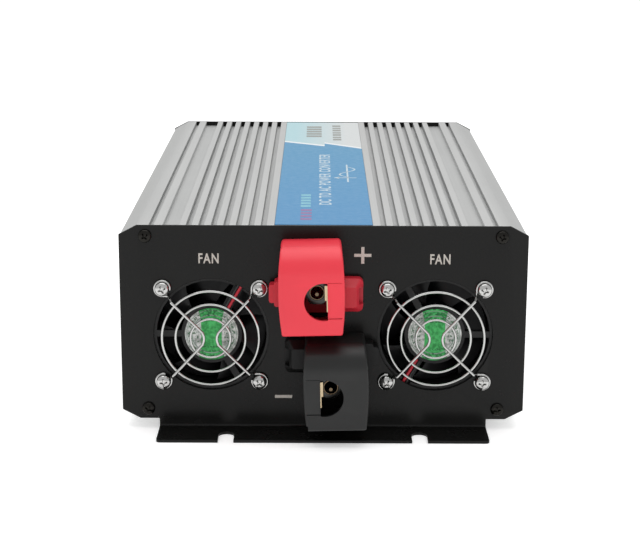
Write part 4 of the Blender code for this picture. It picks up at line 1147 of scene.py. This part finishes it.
# ---------------------------------------------------------------- inside


def add_inside():
    """The pieces behind the panels, from their CAD shapes."""
    finishes = {
        "main_circuit_board": (BOARD, 0.1),
        "control_board": (BOARD, 0.1),
        "transformer_core": (FERRITE, 0.5),
        "transformer_winding": (WIRE, 0.6),
        "input_capacitor": (SLEEVE, 0.3),
        "bulk_capacitor": (SLEEVE, 0.4),
        "output_inductor": (WIRE, 0.0),
        "left_heat_sink": (ALUMINIUM, 0.2),
        "right_heat_sink": (ALUMINIUM, 0.2),
        "positive_bus_bar": (COPPER, 0.2),
        "negative_bus_bar": (COPPER, 0.2),
    }
    for node, (material, bevel) in finishes.items():
        refined(node, material, bevel)


# ---------------------------------------------------------------- stage


def add_stage():
    """Pale floor that glows a little, white surroundings and one soft light overhead."""
    bm = bmesh.new()
    bmesh.ops.create_grid(bm, x_segments=1, y_segments=1, size=30.0)
    mesh = bpy.data.meshes.new("floor")
    bm.to_mesh(mesh)
    bm.free()
    floor = bpy.data.objects.new("floor", mesh)
    bpy.context.scene.collection.objects.link(floor)
    shader = Shader("floor_paper")
    shader.set(specular=0.1, emission=0.36)
    shader.base.inputs["Emission Color"].default_value = (1.0, 1.0, 1.0, 1.0)
    cloud = shader.mapped(shader.noise(3, 2.0), 0.0, 1.0)
    shader.colour(shader.mix(cloud, (0.90, 0.90, 0.90), (0.92, 0.92, 0.92)))
    shader.rough(shader.mapped(shader.noise(40, 2.0), 0.7, 0.8))
    mesh.materials.append(shader.material)

    world = bpy.data.worlds.new("studio")
    bpy.context.scene.world = world
    world.use_nodes = True
    world.node_tree.nodes["Background"].inputs["Color"].default_value = (1.0, 1.0, 1.0, 1.0)
    world.node_tree.nodes["Background"].inputs["Strength"].default_value = 0.78

    light = bpy.data.lights.new("overhead", "AREA")
    light.shape = "SQUARE"
    light.size = 1.6
    light.energy = 14.0
    lamp = bpy.data.objects.new("overhead", light)
    bpy.context.scene.collection.objects.link(lamp)
    above = Vector((0.0, 0.1, 1.5))
    lamp.location = above
    lamp.rotation_euler = (Vector((0.0, 0.0, 0.0)) - above).to_track_quat("-Z", "Y").to_euler()


def add_camera():
    """Camera straight in front of the fan end, looking a little down."""
    pitch = math.radians(14.247)
    yaw = math.radians(0.074)
    roll = math.radians(0.252)
    ahead = Vector((math.sin(yaw) * math.cos(pitch), math.cos(yaw) * math.cos(pitch), -math.sin(pitch)))
    level = Vector((math.cos(yaw), -math.sin(yaw), 0))
    above = level.cross(ahead)
    right = level * math.cos(roll) + above * math.sin(roll)
    up = above * math.cos(roll) - level * math.sin(roll)
    data = bpy.data.cameras.new("camera")
    data.sensor_width = 36.0
    data.lens = 90.416
    camera = bpy.data.objects.new("camera", data)
    bpy.context.scene.collection.objects.link(camera)
    turn = Matrix((right, up, -ahead)).transposed().to_4x4()
    camera.matrix_world = Matrix.Translation((-0.00284, (FRONT_Y - 799.8) * MM, (BASE_Z + 285.7) * MM)) @ turn
    bpy.context.scene.camera = camera
    bpy.context.scene.view_settings.view_transform = "Standard"


add_camera()
add_stage()
add_shell_pieces()
add_overlay()
add_panel_marks()
add_panel_screws()
add_fans()
add_terminals()
add_outlets()
add_switch()
add_small_rear_pieces()
add_inside()
